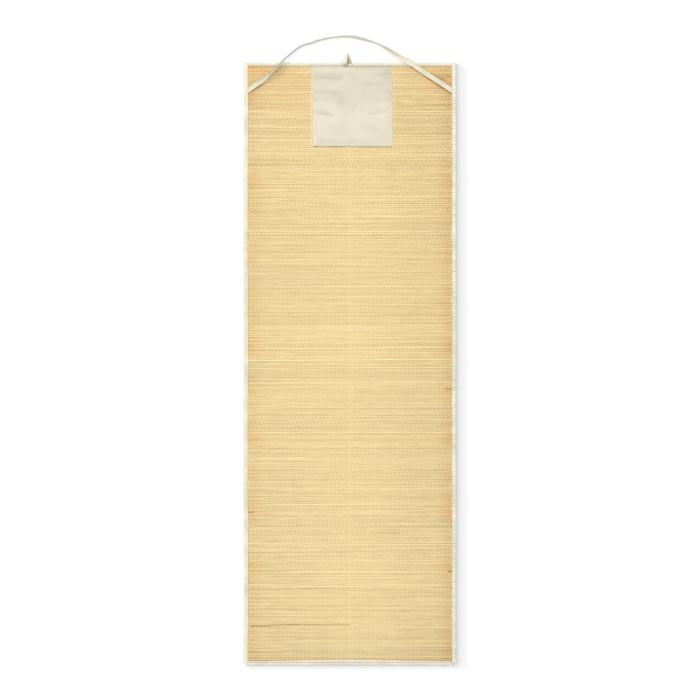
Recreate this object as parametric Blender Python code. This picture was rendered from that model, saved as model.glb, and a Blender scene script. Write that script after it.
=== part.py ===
"""A woven straw beach mat lying open on the floor.

The mat lies along Y with its carry strap at +Y, its middle at the origin and its underside on z = 0.
Lengths are in metres. MM turns a size in millimetres into metres.
"""

import math

import bpy
from mathutils import Vector

MM = 0.001

# Whole mat
MAT_WIDTH = 0.600
MAT_LENGTH = 1.703
HALF_WIDTH = MAT_WIDTH / 2
HALF_LENGTH = MAT_LENGTH / 2
CLEAR = 0.3 * MM

# Woven straw panel
PANEL_THICK = 2.6 * MM
PANEL_RIM_THICK = 1.2 * MM
PANEL_RAMP = 8.0 * MM
PANEL_STEP_X = 42.0 * MM
PANEL_STEP_Y = 42.0 * MM

# Edge tapes, folded over the panel's rim
TAPE_WALL = 1.0 * MM
TAPE_HEIGHT = 3.8 * MM
TAPE_SPINE = 2.6 * MM
TAPE_LIP_BEVEL = 0.4 * MM
TAPE_ROUND_STEPS = 5
TAPE_STEP = 60.0 * MM
SIDE_TAPE = 11.5 * MM
TOP_TAPE = 9.0 * MM
BOTTOM_TAPE = 11.3 * MM
BOTTOM_TAPE_SWELL = 2.8 * MM
TAPE_END = 3.0 * MM
TAPE_CORNER_ROUND = 2.8 * MM
RIGHT_TAPE_SHORT = 6.8 * MM
RIGHT_TAPE_FOLD_RISE = 0.9 * MM
BOTTOM_TONGUE = 3.3 * MM
BOTTOM_TONGUE_WIDTH = 6.4 * MM

# Patch pocket
POCKET_TOP = 0.8420
POCKET_BOTTOM = 0.6157
POCKET_LEFT_AT_TOP = -0.1074
POCKET_LEFT_AT_BOTTOM = -0.1036
POCKET_RIGHT_AT_TOP = 0.1191
POCKET_RIGHT_AT_BOTTOM = 0.1208
POCKET_CLOTH = 1.0 * MM
POCKET_HEM = 11.0 * MM
POCKET_MOUTH_HEM = 6.5 * MM
POCKET_HEM_EXTRA = 0.5 * MM
POCKET_HEM_STEP = 1.5 * MM
POCKET_PUFF = 1.7 * MM
POCKET_PUFF_RIM = 22.0 * MM
POCKET_GRID = 9.4 * MM

# Carry strap and closing loop
STRAP_WIDTH = 13.6 * MM
STRAP_THICK = 1.5 * MM
STRAP_STEP = 9.5 * MM
STRAP_ROOT_SKEW = math.radians(36.0)
STRAP_SKEW_LENGTH = 20.0 * MM
LOOP_WIDTH = 13.6 * MM
LOOP_THICK = 1.2 * MM
LOOP_STEP = 2.4 * MM
EDGE_ROUND = 0.45 * MM

# Slow waves of the long edges: side (-1 left, 1 right), height, wavelength, phase
EDGE_WAVES = (
    (-1, 0.5 * MM, 0.640, 0.9),
    (-1, 0.3 * MM, 0.235, 2.1),
    (1, 0.3 * MM, 0.520, 0.3),
    (1, 0.2 * MM, 0.180, 1.7),
)

# Low ripples across the panel: middle x, middle y, half length, height, half width, bow, slope
RIPPLES = (
    (-0.128, -0.7385, 0.125, 2.0 * MM, 15 * MM, -3.5 * MM, 0.010),
    (-0.030, -0.6800, 0.180, 1.3 * MM, 16 * MM, 2.0 * MM, 0.006),
    (0.100, -0.4780, 0.120, 1.6 * MM, 15 * MM, 2.0 * MM, -0.012),
    (-0.135, 0.4330, 0.120, 1.4 * MM, 17 * MM, -2.0 * MM, 0.008),
    (0.120, 0.2150, 0.110, 1.1 * MM, 18 * MM, 1.5 * MM, 0.010),
)

# Soft folds of the pocket: start x, start y, end x, end y, height, half width
POCKET_FOLDS = (
    (-0.104, 0.815, -0.026, 0.806, -1.3 * MM, 9 * MM),
    (-0.088, 0.832, 0.000, 0.828, 0.5 * MM, 7 * MM),
    (-0.090, 0.789, -0.030, 0.785, 1.0 * MM, 12 * MM),
    (-0.104, 0.767, -0.037, 0.761, -1.1 * MM, 7 * MM),
    (-0.040, 0.750, -0.020, 0.725, -0.7 * MM, 7 * MM),
    (-0.096, 0.712, -0.050, 0.706, -1.1 * MM, 5 * MM),
    (0.084, 0.813, 0.117, 0.823, -1.3 * MM, 8 * MM),
    (0.050, 0.800, 0.086, 0.797, 0.7 * MM, 9 * MM),
    (0.104, 0.762, 0.117, 0.774, -1.0 * MM, 6 * MM),
    (0.042, 0.786, 0.080, 0.784, -0.5 * MM, 6 * MM),
    (0.057, 0.709, 0.105, 0.712, -1.0 * MM, 5 * MM),
    (0.070, 0.660, 0.100, 0.646, -0.6 * MM, 11 * MM),
    (-0.070, 0.650, -0.010, 0.642, -0.5 * MM, 9 * MM),
    (-0.060, 0.680, 0.050, 0.676, 0.6 * MM, 14 * MM),
)

# Carry strap, left root to right root: x, y, height of its lower edge, lean in degrees
STRAP_ROUTE = (
    (-0.2880, 0.7738, 2.9 * MM, 3),
    (-0.2674, 0.7889, 2.9 * MM, 4),
    (-0.2448, 0.8040, 3.0 * MM, 24),
    (-0.2278, 0.8195, 3.4 * MM, 48),
    (-0.2123, 0.8322, 4.4 * MM, 58),
    (-0.1981, 0.8456, 5.2 * MM, 65),
    (-0.1854, 0.8602, 4.0 * MM, 69),
    (-0.1684, 0.8752, 1.4 * MM, 70),
    (-0.1514, 0.8891, 0.2 * MM, 69),
    (-0.1344, 0.8992, 0.0 * MM, 66),
    (-0.1090, 0.9067, 0.0 * MM, 60),
    (-0.0835, 0.9155, 0.0 * MM, 60),
    (-0.0495, 0.9220, 0.0 * MM, 65),
    (-0.0156, 0.9249, 0.0 * MM, 60),
    (0.0099, 0.9237, 0.0 * MM, 53),
    (0.0354, 0.9180, 0.0 * MM, 48),
    (0.0608, 0.9108, 0.0 * MM, 68),
    (0.0863, 0.9007, 0.0 * MM, 66),
    (0.1118, 0.8861, 0.6 * MM, 44),
    (0.1373, 0.8684, 3.2 * MM, 18),
    (0.1542, 0.8594, 5.4 * MM, 9),
    (0.1726, 0.8498, 6.0 * MM, 6),
    (0.1981, 0.8327, 4.6 * MM, 6),
    (0.2264, 0.8140, 3.2 * MM, 6),
    (0.2575, 0.7942, 2.9 * MM, 4),
    (0.2880, 0.7745, 2.9 * MM, 3),
)

# Closing loop, from its right root round the tip to its left root: x, y, z, turn of its width in degrees, width share
LOOP_ROUTE = (
    (-0.0004, 0.8428, 5.5 * MM, 4, 0.96),
    (-0.0008, 0.8455, 5.3 * MM, 6, 1.00),
    (-0.0018, 0.8500, 4.9 * MM, 12, 1.00),
    (-0.0042, 0.8580, 3.9 * MM, 15, 1.00),
    (-0.0068, 0.8670, 2.1 * MM, 13, 0.98),
    (-0.0088, 0.8730, 1.3 * MM, 9, 0.90),
    (-0.0100, 0.8760, 2.6 * MM, 5, 0.76),
    (-0.0107, 0.8770, 5.2 * MM, 2, 0.66),
    (-0.0113, 0.8760, 7.9 * MM, 0, 0.74),
    (-0.0123, 0.8725, 9.7 * MM, -1, 0.90),
    (-0.0136, 0.8665, 10.8 * MM, -1, 1.00),
    (-0.0143, 0.8570, 11.1 * MM, 0, 1.00),
    (-0.0145, 0.8500, 10.3 * MM, 0, 1.00),
    (-0.0145, 0.8460, 8.8 * MM, 0, 0.97),
    (-0.0145, 0.8440, 7.1 * MM, 0, 0.90),
    (-0.0145, 0.8428, 5.4 * MM, 0, 0.80),
)

# Linear colour, roughness
STRAW_COLOUR = (0.76, 0.55, 0.27, 1.0)
STRAW_ROUGH = 0.62
COTTON_COLOUR = (0.82, 0.76, 0.63, 1.0)
COTTON_ROUGH = 0.9
POCKET_COLOUR = (0.77, 0.73, 0.59, 1.0)
POCKET_ROUGH = 0.85


def clear_scene():
    for old in list(bpy.data.objects):
        bpy.data.objects.remove(old)


def smooth_step(value):
    """Goes from 0 to 1 as value does, level at both ends."""
    share = min(1.0, max(0.0, value))
    return share * share * (3 - 2 * share)


def cloth_material(name, colour, roughness):
    material = bpy.data.materials.new(name)
    material.use_nodes = True
    shader = material.node_tree.nodes["Principled BSDF"]
    shader.inputs["Base Color"].default_value = colour
    shader.inputs["Roughness"].default_value = roughness
    shader.inputs["Metallic"].default_value = 0.0
    return material


def volume_of(points, faces):
    total = 0.0
    for face in faces:
        first = points[face[0]]
        for second, third in zip(face[1:], face[2:]):
            total += first.dot(points[second].cross(points[third]))
    return total / 6


def solid_piece(name, points, faces, material, sharp_degrees=40):
    """Makes one object of a closed mesh, its faces turned outward."""
    if volume_of(points, faces) < 0:
        faces = [tuple(reversed(face)) for face in faces]
    mesh = bpy.data.meshes.new(name)
    mesh.from_pydata(points, [], faces)
    mesh.materials.append(material)
    mesh.shade_smooth()
    mesh.set_sharp_from_angle(angle=math.radians(sharp_degrees))
    mesh.update()
    piece = bpy.data.objects.new(name, mesh)
    bpy.context.scene.collection.objects.link(piece)
    return piece


def lines_between(start, end, step, extra=()):
    """Grid lines from start to end about a step apart, with extra lines and none crowded."""
    count = max(1, round((end - start) / step))
    fixed = sorted([start, end, *(e for e in extra if start < e < end)])
    lines = list(fixed)
    for number in range(1, count):
        line = start + (end - start) * number / count
        if min(abs(line - other) for other in fixed) > step / 3:
            lines.append(line)
    return sorted(lines)


def edge_wave(side, y):
    return sum(
        height * math.sin(2 * math.pi * y / length + phase)
        for wave_side, height, length, phase in EDGE_WAVES
        if wave_side == side
    )


def mat_point(x, y):
    """Where a point of the true rectangle lies on the real mat, whose long edges wander a little."""
    side = -1 if x < 0 else 1
    return x + edge_wave(side, y) * abs(x) / HALF_WIDTH, y


def bottom_tape_width(x):
    share = 1 - abs(x) / HALF_WIDTH
    return BOTTOM_TAPE + BOTTOM_TAPE_SWELL * smooth_step(share)


def inside_tapes(x, y):
    """How far a point lies inside the nearest tape's inner edge."""
    return min(
        HALF_WIDTH - abs(x) - SIDE_TAPE,
        HALF_LENGTH - y - TOP_TAPE,
        HALF_LENGTH + y - bottom_tape_width(x),
    )


def ripple_lift(x, y):
    lift = 0.0
    for middle_x, middle_y, half_length, height, half_width, bow, slope in RIPPLES:
        share = (x - middle_x) / half_length
        if abs(share) >= 1:
            continue
        crest = middle_y + bow * share * share + slope * (x - middle_x)
        taper = 1 - smooth_step(abs(share))
        lift += height * taper * math.exp(-(((y - crest) / half_width) ** 2))
    return lift


def panel_underside(x, y):
    rim = 1 - smooth_step((inside_tapes(x, y) - CLEAR) / PANEL_RAMP)
    return (TAPE_WALL + CLEAR) * rim + ripple_lift(x, y) * (1 - rim)


def panel_top(x, y):
    rim = 1 - smooth_step((inside_tapes(x, y) - CLEAR) / PANEL_RAMP)
    rim_top = TAPE_WALL + CLEAR + PANEL_RIM_THICK
    return rim_top * rim + (PANEL_THICK + ripple_lift(x, y)) * (1 - rim)


def grid_solid(name, columns, rows, place, underside, top, material, has_cell=None):
    """A slab between two height functions over the cells of a grid."""
    cells = {
        (i, j)
        for i in range(len(columns) - 1)
        for j in range(len(rows) - 1)
        if has_cell is None or has_cell((columns[i] + columns[i + 1]) / 2, (rows[j] + rows[j + 1]) / 2)
    }
    points, numbers = [], {}

    def corner(i, j, layer):
        key = (i, j, layer)
        if key not in numbers:
            x, y = columns[i], rows[j]
            height = top(x, y) if layer else underside(x, y)
            numbers[key] = len(points)
            points.append(Vector((*place(x, y), height)))
        return numbers[key]

    faces = []
    for i, j in sorted(cells):
        ring = ((i, j), (i + 1, j), (i + 1, j + 1), (i, j + 1))
        faces.append([corner(a, b, 1) for a, b in ring])
        faces.append([corner(a, b, 0) for a, b in reversed(ring)])
        neighbours = ((i, j - 1), (i + 1, j), (i, j + 1), (i - 1, j))
        for number, neighbour in enumerate(neighbours):
            if neighbour in cells:
                continue
            start, end = ring[number], ring[(number + 1) % 4]
            faces.append([corner(*start, 0), corner(*end, 0), corner(*end, 1), corner(*start, 1)])
    return solid_piece(name, points, faces, material)


def straw_panel(material):
    """The woven panel. Its rim thins and rises into the tapes, and one corner is cut back for the tape's end."""
    left = -HALF_WIDTH + TAPE_SPINE + CLEAR
    low = -HALF_LENGTH + TAPE_END + CLEAR
    ramp_share = (0, 0.25, 0.5, 0.75, 1.05)
    side_lines = [SIDE_TAPE + CLEAR + PANEL_RAMP * share for share in ramp_share]
    cut_x = HALF_WIDTH - SIDE_TAPE - TAPE_END - 2 * CLEAR
    cut_y = -HALF_LENGTH + BOTTOM_TAPE + CLEAR
    columns = lines_between(
        left,
        -left,
        PANEL_STEP_X,
        [side * (HALF_WIDTH - line) for line in side_lines for side in (-1, 1)] + [cut_x],
    )
    top_lines = [HALF_LENGTH - TOP_TAPE - CLEAR - PANEL_RAMP * share for share in ramp_share]
    swell_shares = (0, 0.5, 1.0, 1.4, 1.9, 2.5, 3.2, 4.0)
    low_lines = [cut_y + BOTTOM_TAPE_SWELL * share for share in swell_shares]
    ripple_lines = [
        middle_y + half_width * share
        for _, middle_y, _, _, half_width, _, _ in RIPPLES
        for share in (-1.8, -1.0, -0.5, 0, 0.5, 1.0, 1.8)
    ]
    rows = lines_between(low, -low, PANEL_STEP_Y, top_lines + low_lines + ripple_lines)

    def has_cell(x, y):
        return not (x > cut_x and y < cut_y)

    return grid_solid(
        "straw_panel", columns, rows, mat_point, panel_underside, panel_top, material, has_cell
    )


def tape_section(width, rise=0.0):
    """The outside of a folded tape from its lower lip round the fold to its upper lip: inward distance, height."""
    height = TAPE_HEIGHT + rise
    half = TAPE_HEIGHT / 2
    outline = [(width, TAPE_WALL), (width, TAPE_LIP_BEVEL), (width - TAPE_LIP_BEVEL, 0.0)]
    for step in range(TAPE_ROUND_STEPS + 1):
        turn = math.pi * step / TAPE_ROUND_STEPS
        level = half * (1 - math.cos(turn)) * height / TAPE_HEIGHT
        outline.append((half * (1 - math.sin(turn)), level))
    outline += [(width - TAPE_LIP_BEVEL, height), (width, height - TAPE_LIP_BEVEL)]
    outline.append((width, TAPE_HEIGHT - TAPE_WALL))
    return outline


def tape_slot():
    """The slot's blind side, upper corner first."""
    return [(TAPE_SPINE, TAPE_HEIGHT - TAPE_WALL), (TAPE_SPINE, TAPE_WALL)]


def folded_tape(name, open_rows, end_rows, place, material):
    """A tape folded round the panel's rim.

    open_rows are (along, width) where the slot runs. end_rows holds the closed stretch past each end of it, as
    (along, width, inset, rise), nearest the slot first, and is empty where that end stays open.
    place turns (along, inward, height) into a point.
    """
    points, faces = [], []

    def add_ring(along, outline):
        first = len(points)
        points.extend(Vector(place(along, inward, height)) for inward, height in outline)
        return list(range(first, len(points)))

    def join(ring, other, closed):
        count = len(ring)
        for number in range(count if closed else count - 1):
            after = (number + 1) % count
            faces.append([ring[number], ring[after], other[after], other[number]])

    outer = [add_ring(along, tape_section(width)) for along, width in open_rows]
    slot = [add_ring(along, tape_slot()) for along, _ in open_rows]
    for number in range(len(open_rows) - 1):
        join(outer[number] + slot[number], outer[number + 1] + slot[number + 1], True)
    for end, stretch in enumerate(end_rows):
        station = -1 if end else 0
        last = outer[station]
        if not stretch:
            faces.append(turned(last + slot[station], end))
            continue
        faces.append(turned([last[-1], *slot[station], last[0]], end))
        for along, width, inset, rise in stretch:
            outline = [
                (inset + inward * (width - inset) / width, height)
                for inward, height in tape_section(width, rise)
            ]
            ring = add_ring(along, outline)
            if end:
                join(last, ring, True)
            else:
                join(ring, last, True)
            last = ring
        faces.append(turned(last, end))
    return solid_piece(name, points, faces, material)


def turned(ring, end):
    """A closing face, its order turned at the tape's far end."""
    return list(ring) if end else list(reversed(ring))


def rounded_end(along, direction, width, length):
    """The closed end of a side tape, its outer corner rounded in plan."""
    start = length - TAPE_CORNER_ROUND
    rows = [(along + direction * start, width, 0.0, 0.0)]
    for share in (0.4, 0.7, 0.9, 1.0):
        inset = TAPE_CORNER_ROUND * (1 - math.sqrt(1 - (share * 0.97) ** 2))
        rows.append((along + direction * (start + TAPE_CORNER_ROUND * share), width, inset, 0.0))
    return rows


def side_tape(name, side, low, low_end, material):
    """A long tape, from the height low of its slot's lower end to the top edge."""
    high = HALF_LENGTH - TAPE_END
    rows = [(along, SIDE_TAPE) for along in lines_between(low, high, TAPE_STEP)]
    ends = (low_end, rounded_end(high, 1, SIDE_TAPE, TAPE_END))

    def place(along, inward, height):
        return *mat_point(side * (HALF_WIDTH - inward), along), height

    return folded_tape(name, rows, ends, place, material)


def binding_left(material):
    low = -HALF_LENGTH + TAPE_END
    return side_tape("binding_left", -1, low, rounded_end(low, -1, SIDE_TAPE, TAPE_END), material)


def binding_right(material):
    """Stops short of the bottom edge, with its end folded back on itself."""
    stop = -HALF_LENGTH + RIGHT_TAPE_SHORT
    low = stop + TAPE_END
    fold = [
        (low - 0.2 * TAPE_END, SIDE_TAPE, 0.0, 0.0),
        (low - 0.45 * TAPE_END, SIDE_TAPE, 0.0, RIGHT_TAPE_FOLD_RISE),
        (stop + 0.15 * TAPE_END, SIDE_TAPE, 0.0, RIGHT_TAPE_FOLD_RISE),
        (stop, SIDE_TAPE, 0.3 * MM, 0.5 * RIGHT_TAPE_FOLD_RISE),
    ]
    return side_tape("binding_right", 1, low, fold, material)


def binding_top(material):
    reach = HALF_WIDTH - SIDE_TAPE - CLEAR
    rows = [(along, TOP_TAPE) for along in lines_between(-reach, reach, 2 * TAPE_STEP)]

    def place(along, inward, height):
        x, y = mat_point(along, HALF_LENGTH)
        return x, y - inward, height

    return folded_tape("binding_top", rows, ((), ()), place, material)


def binding_bottom(material):
    """Bows wider in the middle, and runs on under the right tape's end as a narrow tongue."""
    start = -HALF_WIDTH + SIDE_TAPE + CLEAR
    shut = HALF_WIDTH - SIDE_TAPE - TAPE_END - CLEAR
    rows = [(along, bottom_tape_width(along)) for along in lines_between(start, shut, TAPE_STEP)]
    tip = HALF_WIDTH - SIDE_TAPE + BOTTOM_TONGUE
    neck = HALF_WIDTH - SIDE_TAPE - CLEAR
    tongue = [
        (shut + 0.3 * MM, bottom_tape_width(shut), 0.0, 0.0),
        (neck, BOTTOM_TONGUE_WIDTH, 0.0, 0.0),
        (tip - 1.6 * MM, BOTTOM_TONGUE_WIDTH, 0.2 * MM, 0.0),
        (tip - 0.5 * MM, BOTTOM_TONGUE_WIDTH, 1.2 * MM, 0.0),
        (tip, BOTTOM_TONGUE_WIDTH, 2.8 * MM, 0.0),
    ]

    def place(along, inward, height):
        x, y = mat_point(along, -HALF_LENGTH)
        return x, y + inward, height

    return folded_tape("binding_bottom", rows, ((), tongue), place, material)


def pocket_place(across, y):
    """A point of the pocket, whose sides lean a little: across runs from 0 at its left side to 1 at its right."""
    down = (POCKET_TOP - y) / (POCKET_TOP - POCKET_BOTTOM)
    left = POCKET_LEFT_AT_TOP + (POCKET_LEFT_AT_BOTTOM - POCKET_LEFT_AT_TOP) * down
    right = POCKET_RIGHT_AT_TOP + (POCKET_RIGHT_AT_BOTTOM - POCKET_RIGHT_AT_TOP) * down
    return left + (right - left) * across, y


def fold_height(x, y):
    total = 0.0
    for start_x, start_y, end_x, end_y, height, half_width in POCKET_FOLDS:
        along_x, along_y = end_x - start_x, end_y - start_y
        length = math.hypot(along_x, along_y)
        along = ((x - start_x) * along_x + (y - start_y) * along_y) / length
        across = ((x - start_x) * along_y - (y - start_y) * along_x) / length
        beyond = max(0.0, -along, along - length)
        total += height * math.exp(-((across / half_width) ** 2) - (beyond / half_width) ** 2)
    return total


def pocket_edge_distance(across, y):
    width = POCKET_RIGHT_AT_TOP - POCKET_LEFT_AT_TOP
    return min(across * width, (1 - across) * width, y - POCKET_BOTTOM, POCKET_TOP - y)


def pocket_underside(across, y):
    x, _ = pocket_place(across, y)
    swell = smooth_step(pocket_edge_distance(across, y) / POCKET_PUFF_RIM)
    puff = max(0.0, POCKET_PUFF + fold_height(x, y))
    return panel_top(x, y) + CLEAR + puff * swell


def pocket_top(across, y):
    width = POCKET_RIGHT_AT_TOP - POCKET_LEFT_AT_TOP
    sewn = min(across * width, (1 - across) * width, y - POCKET_BOTTOM)
    hem = 1 - smooth_step((sewn - POCKET_HEM) / POCKET_HEM_STEP)
    mouth = 1 - smooth_step((POCKET_TOP - y - POCKET_MOUTH_HEM) / POCKET_HEM_STEP)
    return pocket_underside(across, y) + POCKET_CLOTH + POCKET_HEM_EXTRA * max(hem, mouth)


def patch_pocket(material):
    width = POCKET_RIGHT_AT_TOP - POCKET_LEFT_AT_TOP
    hem_lines = [POCKET_HEM / width, (POCKET_HEM + POCKET_HEM_STEP) / width]
    across_lines = lines_between(
        0.0, 1.0, POCKET_GRID / width, hem_lines + [1 - line for line in hem_lines]
    )
    hem_rows = [
        POCKET_BOTTOM + POCKET_HEM,
        POCKET_BOTTOM + POCKET_HEM + POCKET_HEM_STEP,
        POCKET_TOP - POCKET_MOUTH_HEM,
        POCKET_TOP - POCKET_MOUTH_HEM - POCKET_HEM_STEP,
    ]
    rows = lines_between(POCKET_BOTTOM, POCKET_TOP, POCKET_GRID, hem_rows)
    return grid_solid(
        "patch_pocket", across_lines, rows, pocket_place, pocket_underside, pocket_top, material
    )


def spline_rows(route, step):
    """Rows about a step apart on a smooth curve through the route's rows. Every column is carried along."""
    rows = []
    for number in range(len(route) - 1):
        before = route[max(0, number - 1)]
        start, end = route[number], route[number + 1]
        after = route[min(len(route) - 1, number + 2)]
        span = math.dist(start[:2], end[:2]) + abs(start[2] - end[2])
        count = max(1, round(span / step))
        for part in range(count):
            rows.append(curve_row(before, start, end, after, part / count))
    rows.append(tuple(route[-1]))
    return rows


def curve_row(before, start, end, after, share):
    square, cube = share * share, share**3
    return tuple(
        0.5
        * (
            2 * b
            + (c - a) * share
            + (2 * a - 5 * b + 4 * c - d) * square
            + (3 * b - a - 3 * c + d) * cube
        )
        for a, b, c, d in zip(before, start, end, after)
    )


def ribbon_section(width, thick):
    """A flat tape's section with eased edges: across, through."""
    half, depth = width / 2, thick / 2
    return (
        (half - EDGE_ROUND, -depth),
        (half, -depth + EDGE_ROUND),
        (half, depth - EDGE_ROUND),
        (half - EDGE_ROUND, depth),
        (EDGE_ROUND - half, depth),
        (-half, depth - EDGE_ROUND),
        (-half, -depth + EDGE_ROUND),
        (EDGE_ROUND - half, -depth),
    )


def ribbon(name, frames, material):
    """A tape along frames of (centre, width direction, face normal, width, thickness)."""
    points, faces = [], []
    for centre, side, normal, width, thick in frames:
        for across, through in ribbon_section(width, thick):
            points.append(centre + side * across + normal * through)
    size = len(ribbon_section(1.0, 1.0))
    for number in range(len(frames) - 1):
        base = number * size
        for corner in range(size):
            after = (corner + 1) % size
            faces.append([base + corner, base + after, base + size + after, base + size + corner])
    faces.append(list(range(size - 1, -1, -1)))
    faces.append(list(range((len(frames) - 1) * size, len(frames) * size)))
    return solid_piece(name, points, faces, material)


def tangents(centres):
    found = []
    for number in range(len(centres)):
        ahead = centres[min(number + 1, len(centres) - 1)]
        behind = centres[max(number - 1, 0)]
        found.append((ahead - behind).normalized())
    return found


def carry_strap(material):
    """Flat on the mat at both roots, and standing on its outer edge round the arch, its inner edge up."""
    rows = spline_rows(STRAP_ROUTE, STRAP_STEP)
    plan = [Vector((*mat_point(x, y), 0.0)) for x, y, _, _ in rows]
    headings = tangents(plan)
    travelled = [0.0]
    for one, other in zip(plan, plan[1:]):
        travelled.append(travelled[-1] + (other - one).length)
    frames = []
    for number, (_, _, low, degrees) in enumerate(rows):
        lean = math.radians(degrees)
        heading = headings[number]
        inward = Vector((heading.y, -heading.x, 0.0))
        from_root = min(travelled[number], travelled[-1] - travelled[number])
        skew = STRAP_ROOT_SKEW * max(0.0, 1 - from_root / STRAP_SKEW_LENGTH)
        toward = 1 if number < len(rows) / 2 else -1
        inward = inward + heading * (-toward * math.tan(skew))
        side = inward.normalized() * math.cos(lean) + Vector((0, 0, math.sin(lean)))
        normal = Vector((0, 0, math.cos(lean))) - inward.normalized() * math.sin(lean)
        width = STRAP_WIDTH * inward.length
        height = low + width / 2 * math.sin(lean) + STRAP_THICK / 2 * math.cos(lean)
        centre = plan[number] + Vector((0, 0, height))
        frames.append((centre, side, normal, width, STRAP_THICK))
    return ribbon("carry_strap", frames, material)


def closing_loop(material):
    rows = spline_rows(LOOP_ROUTE, LOOP_STEP)
    centres = [Vector(row[:3]) for row in rows]
    frames = []
    for centre, forward, row in zip(centres, tangents(centres), rows):
        turn = math.radians(row[3])
        side = Vector((math.cos(turn), math.sin(turn), 0.0))
        side = (side - forward * side.dot(forward)).normalized()
        normal = side.cross(forward)
        frames.append((centre, side, normal, LOOP_WIDTH * row[4], LOOP_THICK))
    return ribbon("closing_loop", frames, material)


def build():
    clear_scene()
    straw = cloth_material("straw", STRAW_COLOUR, STRAW_ROUGH)
    straw_panel(straw)
    for number, make in enumerate((binding_left, binding_right, binding_top, binding_bottom)):
        make(cloth_material(f"tape_{number}", COTTON_COLOUR, COTTON_ROUGH))
    patch_pocket(cloth_material("pocket_cloth", POCKET_COLOUR, POCKET_ROUGH))
    carry_strap(cloth_material("strap_tape", COTTON_COLOUR, COTTON_ROUGH))
    closing_loop(cloth_material("loop_tape", COTTON_COLOUR, COTTON_ROUGH))


build()
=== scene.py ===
"""Dresses the straw beach mat: straws, threads, tapes, patch pocket, carry strap and closing loop.

The mat lies along Y with its strap at +Y and its underside on the floor. Lengths are in metres.
"""

import math

import bpy
import numpy as np
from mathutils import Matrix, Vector
from mathutils.bvhtree import BVHTree


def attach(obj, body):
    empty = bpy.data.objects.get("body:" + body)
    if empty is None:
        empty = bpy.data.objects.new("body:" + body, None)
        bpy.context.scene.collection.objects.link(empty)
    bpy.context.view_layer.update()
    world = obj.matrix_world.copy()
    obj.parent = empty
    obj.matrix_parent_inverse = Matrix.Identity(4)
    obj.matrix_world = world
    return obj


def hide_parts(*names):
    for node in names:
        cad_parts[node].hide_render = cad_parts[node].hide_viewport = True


MM = 0.001
UP = np.array([0.0, 0.0, 1.0])
SEED = 11

# How much of its half of the flat layout a plan takes up
PLAN_SPAN = 0.98

# Camera straight above the mat
PICTURE_SPAN = 1.9797
PICTURE_MIDDLE_Y = 0.0395
LENS = 100.0
SENSOR = 36.0

# Whole mat
HALF_WIDTH = 0.300
HALF_LENGTH = 0.8515
PANEL_THICK = 2.6 * MM

# Weave: straws lie across the mat, threads run along it
STRAW_PITCH = 2.8 * MM
STRAW_PITCH_SPREAD = 0.24
STRAW_WIDTHS = (0.6, 1.7)
STRAWS_TOGETHER = (1, 2, 3)
STRAWS_TOGETHER_ODDS = (0.20, 0.50, 0.30)
STRAW_LOW = -0.8395
STRAW_HIGH = 0.8435
STRAW_REACH = 0.2915
STRAW_HALF_WIDTH = 1.30 * MM
STRAW_HALF_THICK = 0.60 * MM
STRAW_WAVE = 0.38 * MM
STRAW_SPLICE = 0.26
STRAW_SPLICES = 12
THREAD_PITCH = 5.93 * MM
THREAD_PAIR = 2.8 * MM
THREADS_A_SIDE = 49
THREAD_RADIUS = 0.28 * MM
THREAD_WAVE = 0.86 * MM
THREAD_FLATNESS = 0.6
STRAW_GROUPS = 3
THREAD_GROUPS = 2

# How far off a straw's middle its lowest and its highest line are, as shares of its half width
STRAW_LOWEST = 0.25
STRAW_HIGHEST = 0.1

# Smooth random changes along a straw or thread: how far apart they are, and how large
STRAW_WIDTH_WANDER = (0.12, 0.05)
STRAW_THICK_WANDER = (0.05, 0.10)
STRAW_WANDER = (0.05, 0.07 * MM)
STRAW_TILT = (0.06, 0.08)
THREAD_WANDER = (0.06, 0.18 * MM)

# Edge tapes
TAPE_WALL = 1.0 * MM
TAPE_HEIGHT = 3.8 * MM
TAPE_SPINE = 2.6 * MM
TAPE_STEP = 1.7 * MM
SIDE_TAPE = 11.5 * MM
TOP_TAPE = 9.0 * MM
BOTTOM_TAPE = 11.3 * MM
BOTTOM_TAPE_SWELL = 2.8 * MM
TAPE_END = 3.0 * MM
TAPE_CORNER_ROUND = 2.8 * MM
TAPE_CORNER_TURN = 0.97
TAPE_CORNER_SHARES = (0.3, 0.55, 0.75, 0.88, 0.96, 1.0)
TAPE_FOLD_STEPS = 4
TAPE_EDGE_ROUND = 0.4 * MM
TAPE_LIP = 5.2 * MM
TAPE_RAGGED = 0.16 * MM
TAPE_CORNER_STEP = 1.4 * MM
TAPE_GAP = 0.02 * MM
# Painted shade where a tape's upper lip drops to the straw
TAPE_EDGE_SHADE = 0.08
RIGHT_TAPE_SHORT = 6.8 * MM
RIGHT_TAPE_FOLD_RISE = 0.9 * MM
BOTTOM_TONGUE = 3.3 * MM
BOTTOM_TONGUE_WIDTH = 6.4 * MM
CLEAR = 0.3 * MM
PUCKER_PITCH = 6.8 * MM
# Share of each pucker's painted shade that is painted light just before it
PUCKER_RIM = 0.4

# How far each tape's loose lip puckers, and how dark the painted shade in its puckers is
LEFT_PUCKER = (0.05 * MM, 0.10)
RIGHT_PUCKER = (0.10 * MM, 0.45)
TOP_PUCKER = (0.05 * MM, 0.08)
BOTTOM_PUCKER = (0.09 * MM, 0.12)

# Flat cut of each piece of cloth: width and length
LEFT_TAPE_FLAT = (24.0 * MM, 1.703)
RIGHT_TAPE_FLAT = (24.0 * MM, 1.696)
TOP_TAPE_FLAT = (19.0 * MM, 0.577)
BOTTOM_TAPE_FLAT = (26.0 * MM, 0.580)
STRAP_FLAT = (13.6 * MM, 0.666)
LOOP_FLAT = (13.6 * MM, 0.077)
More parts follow.
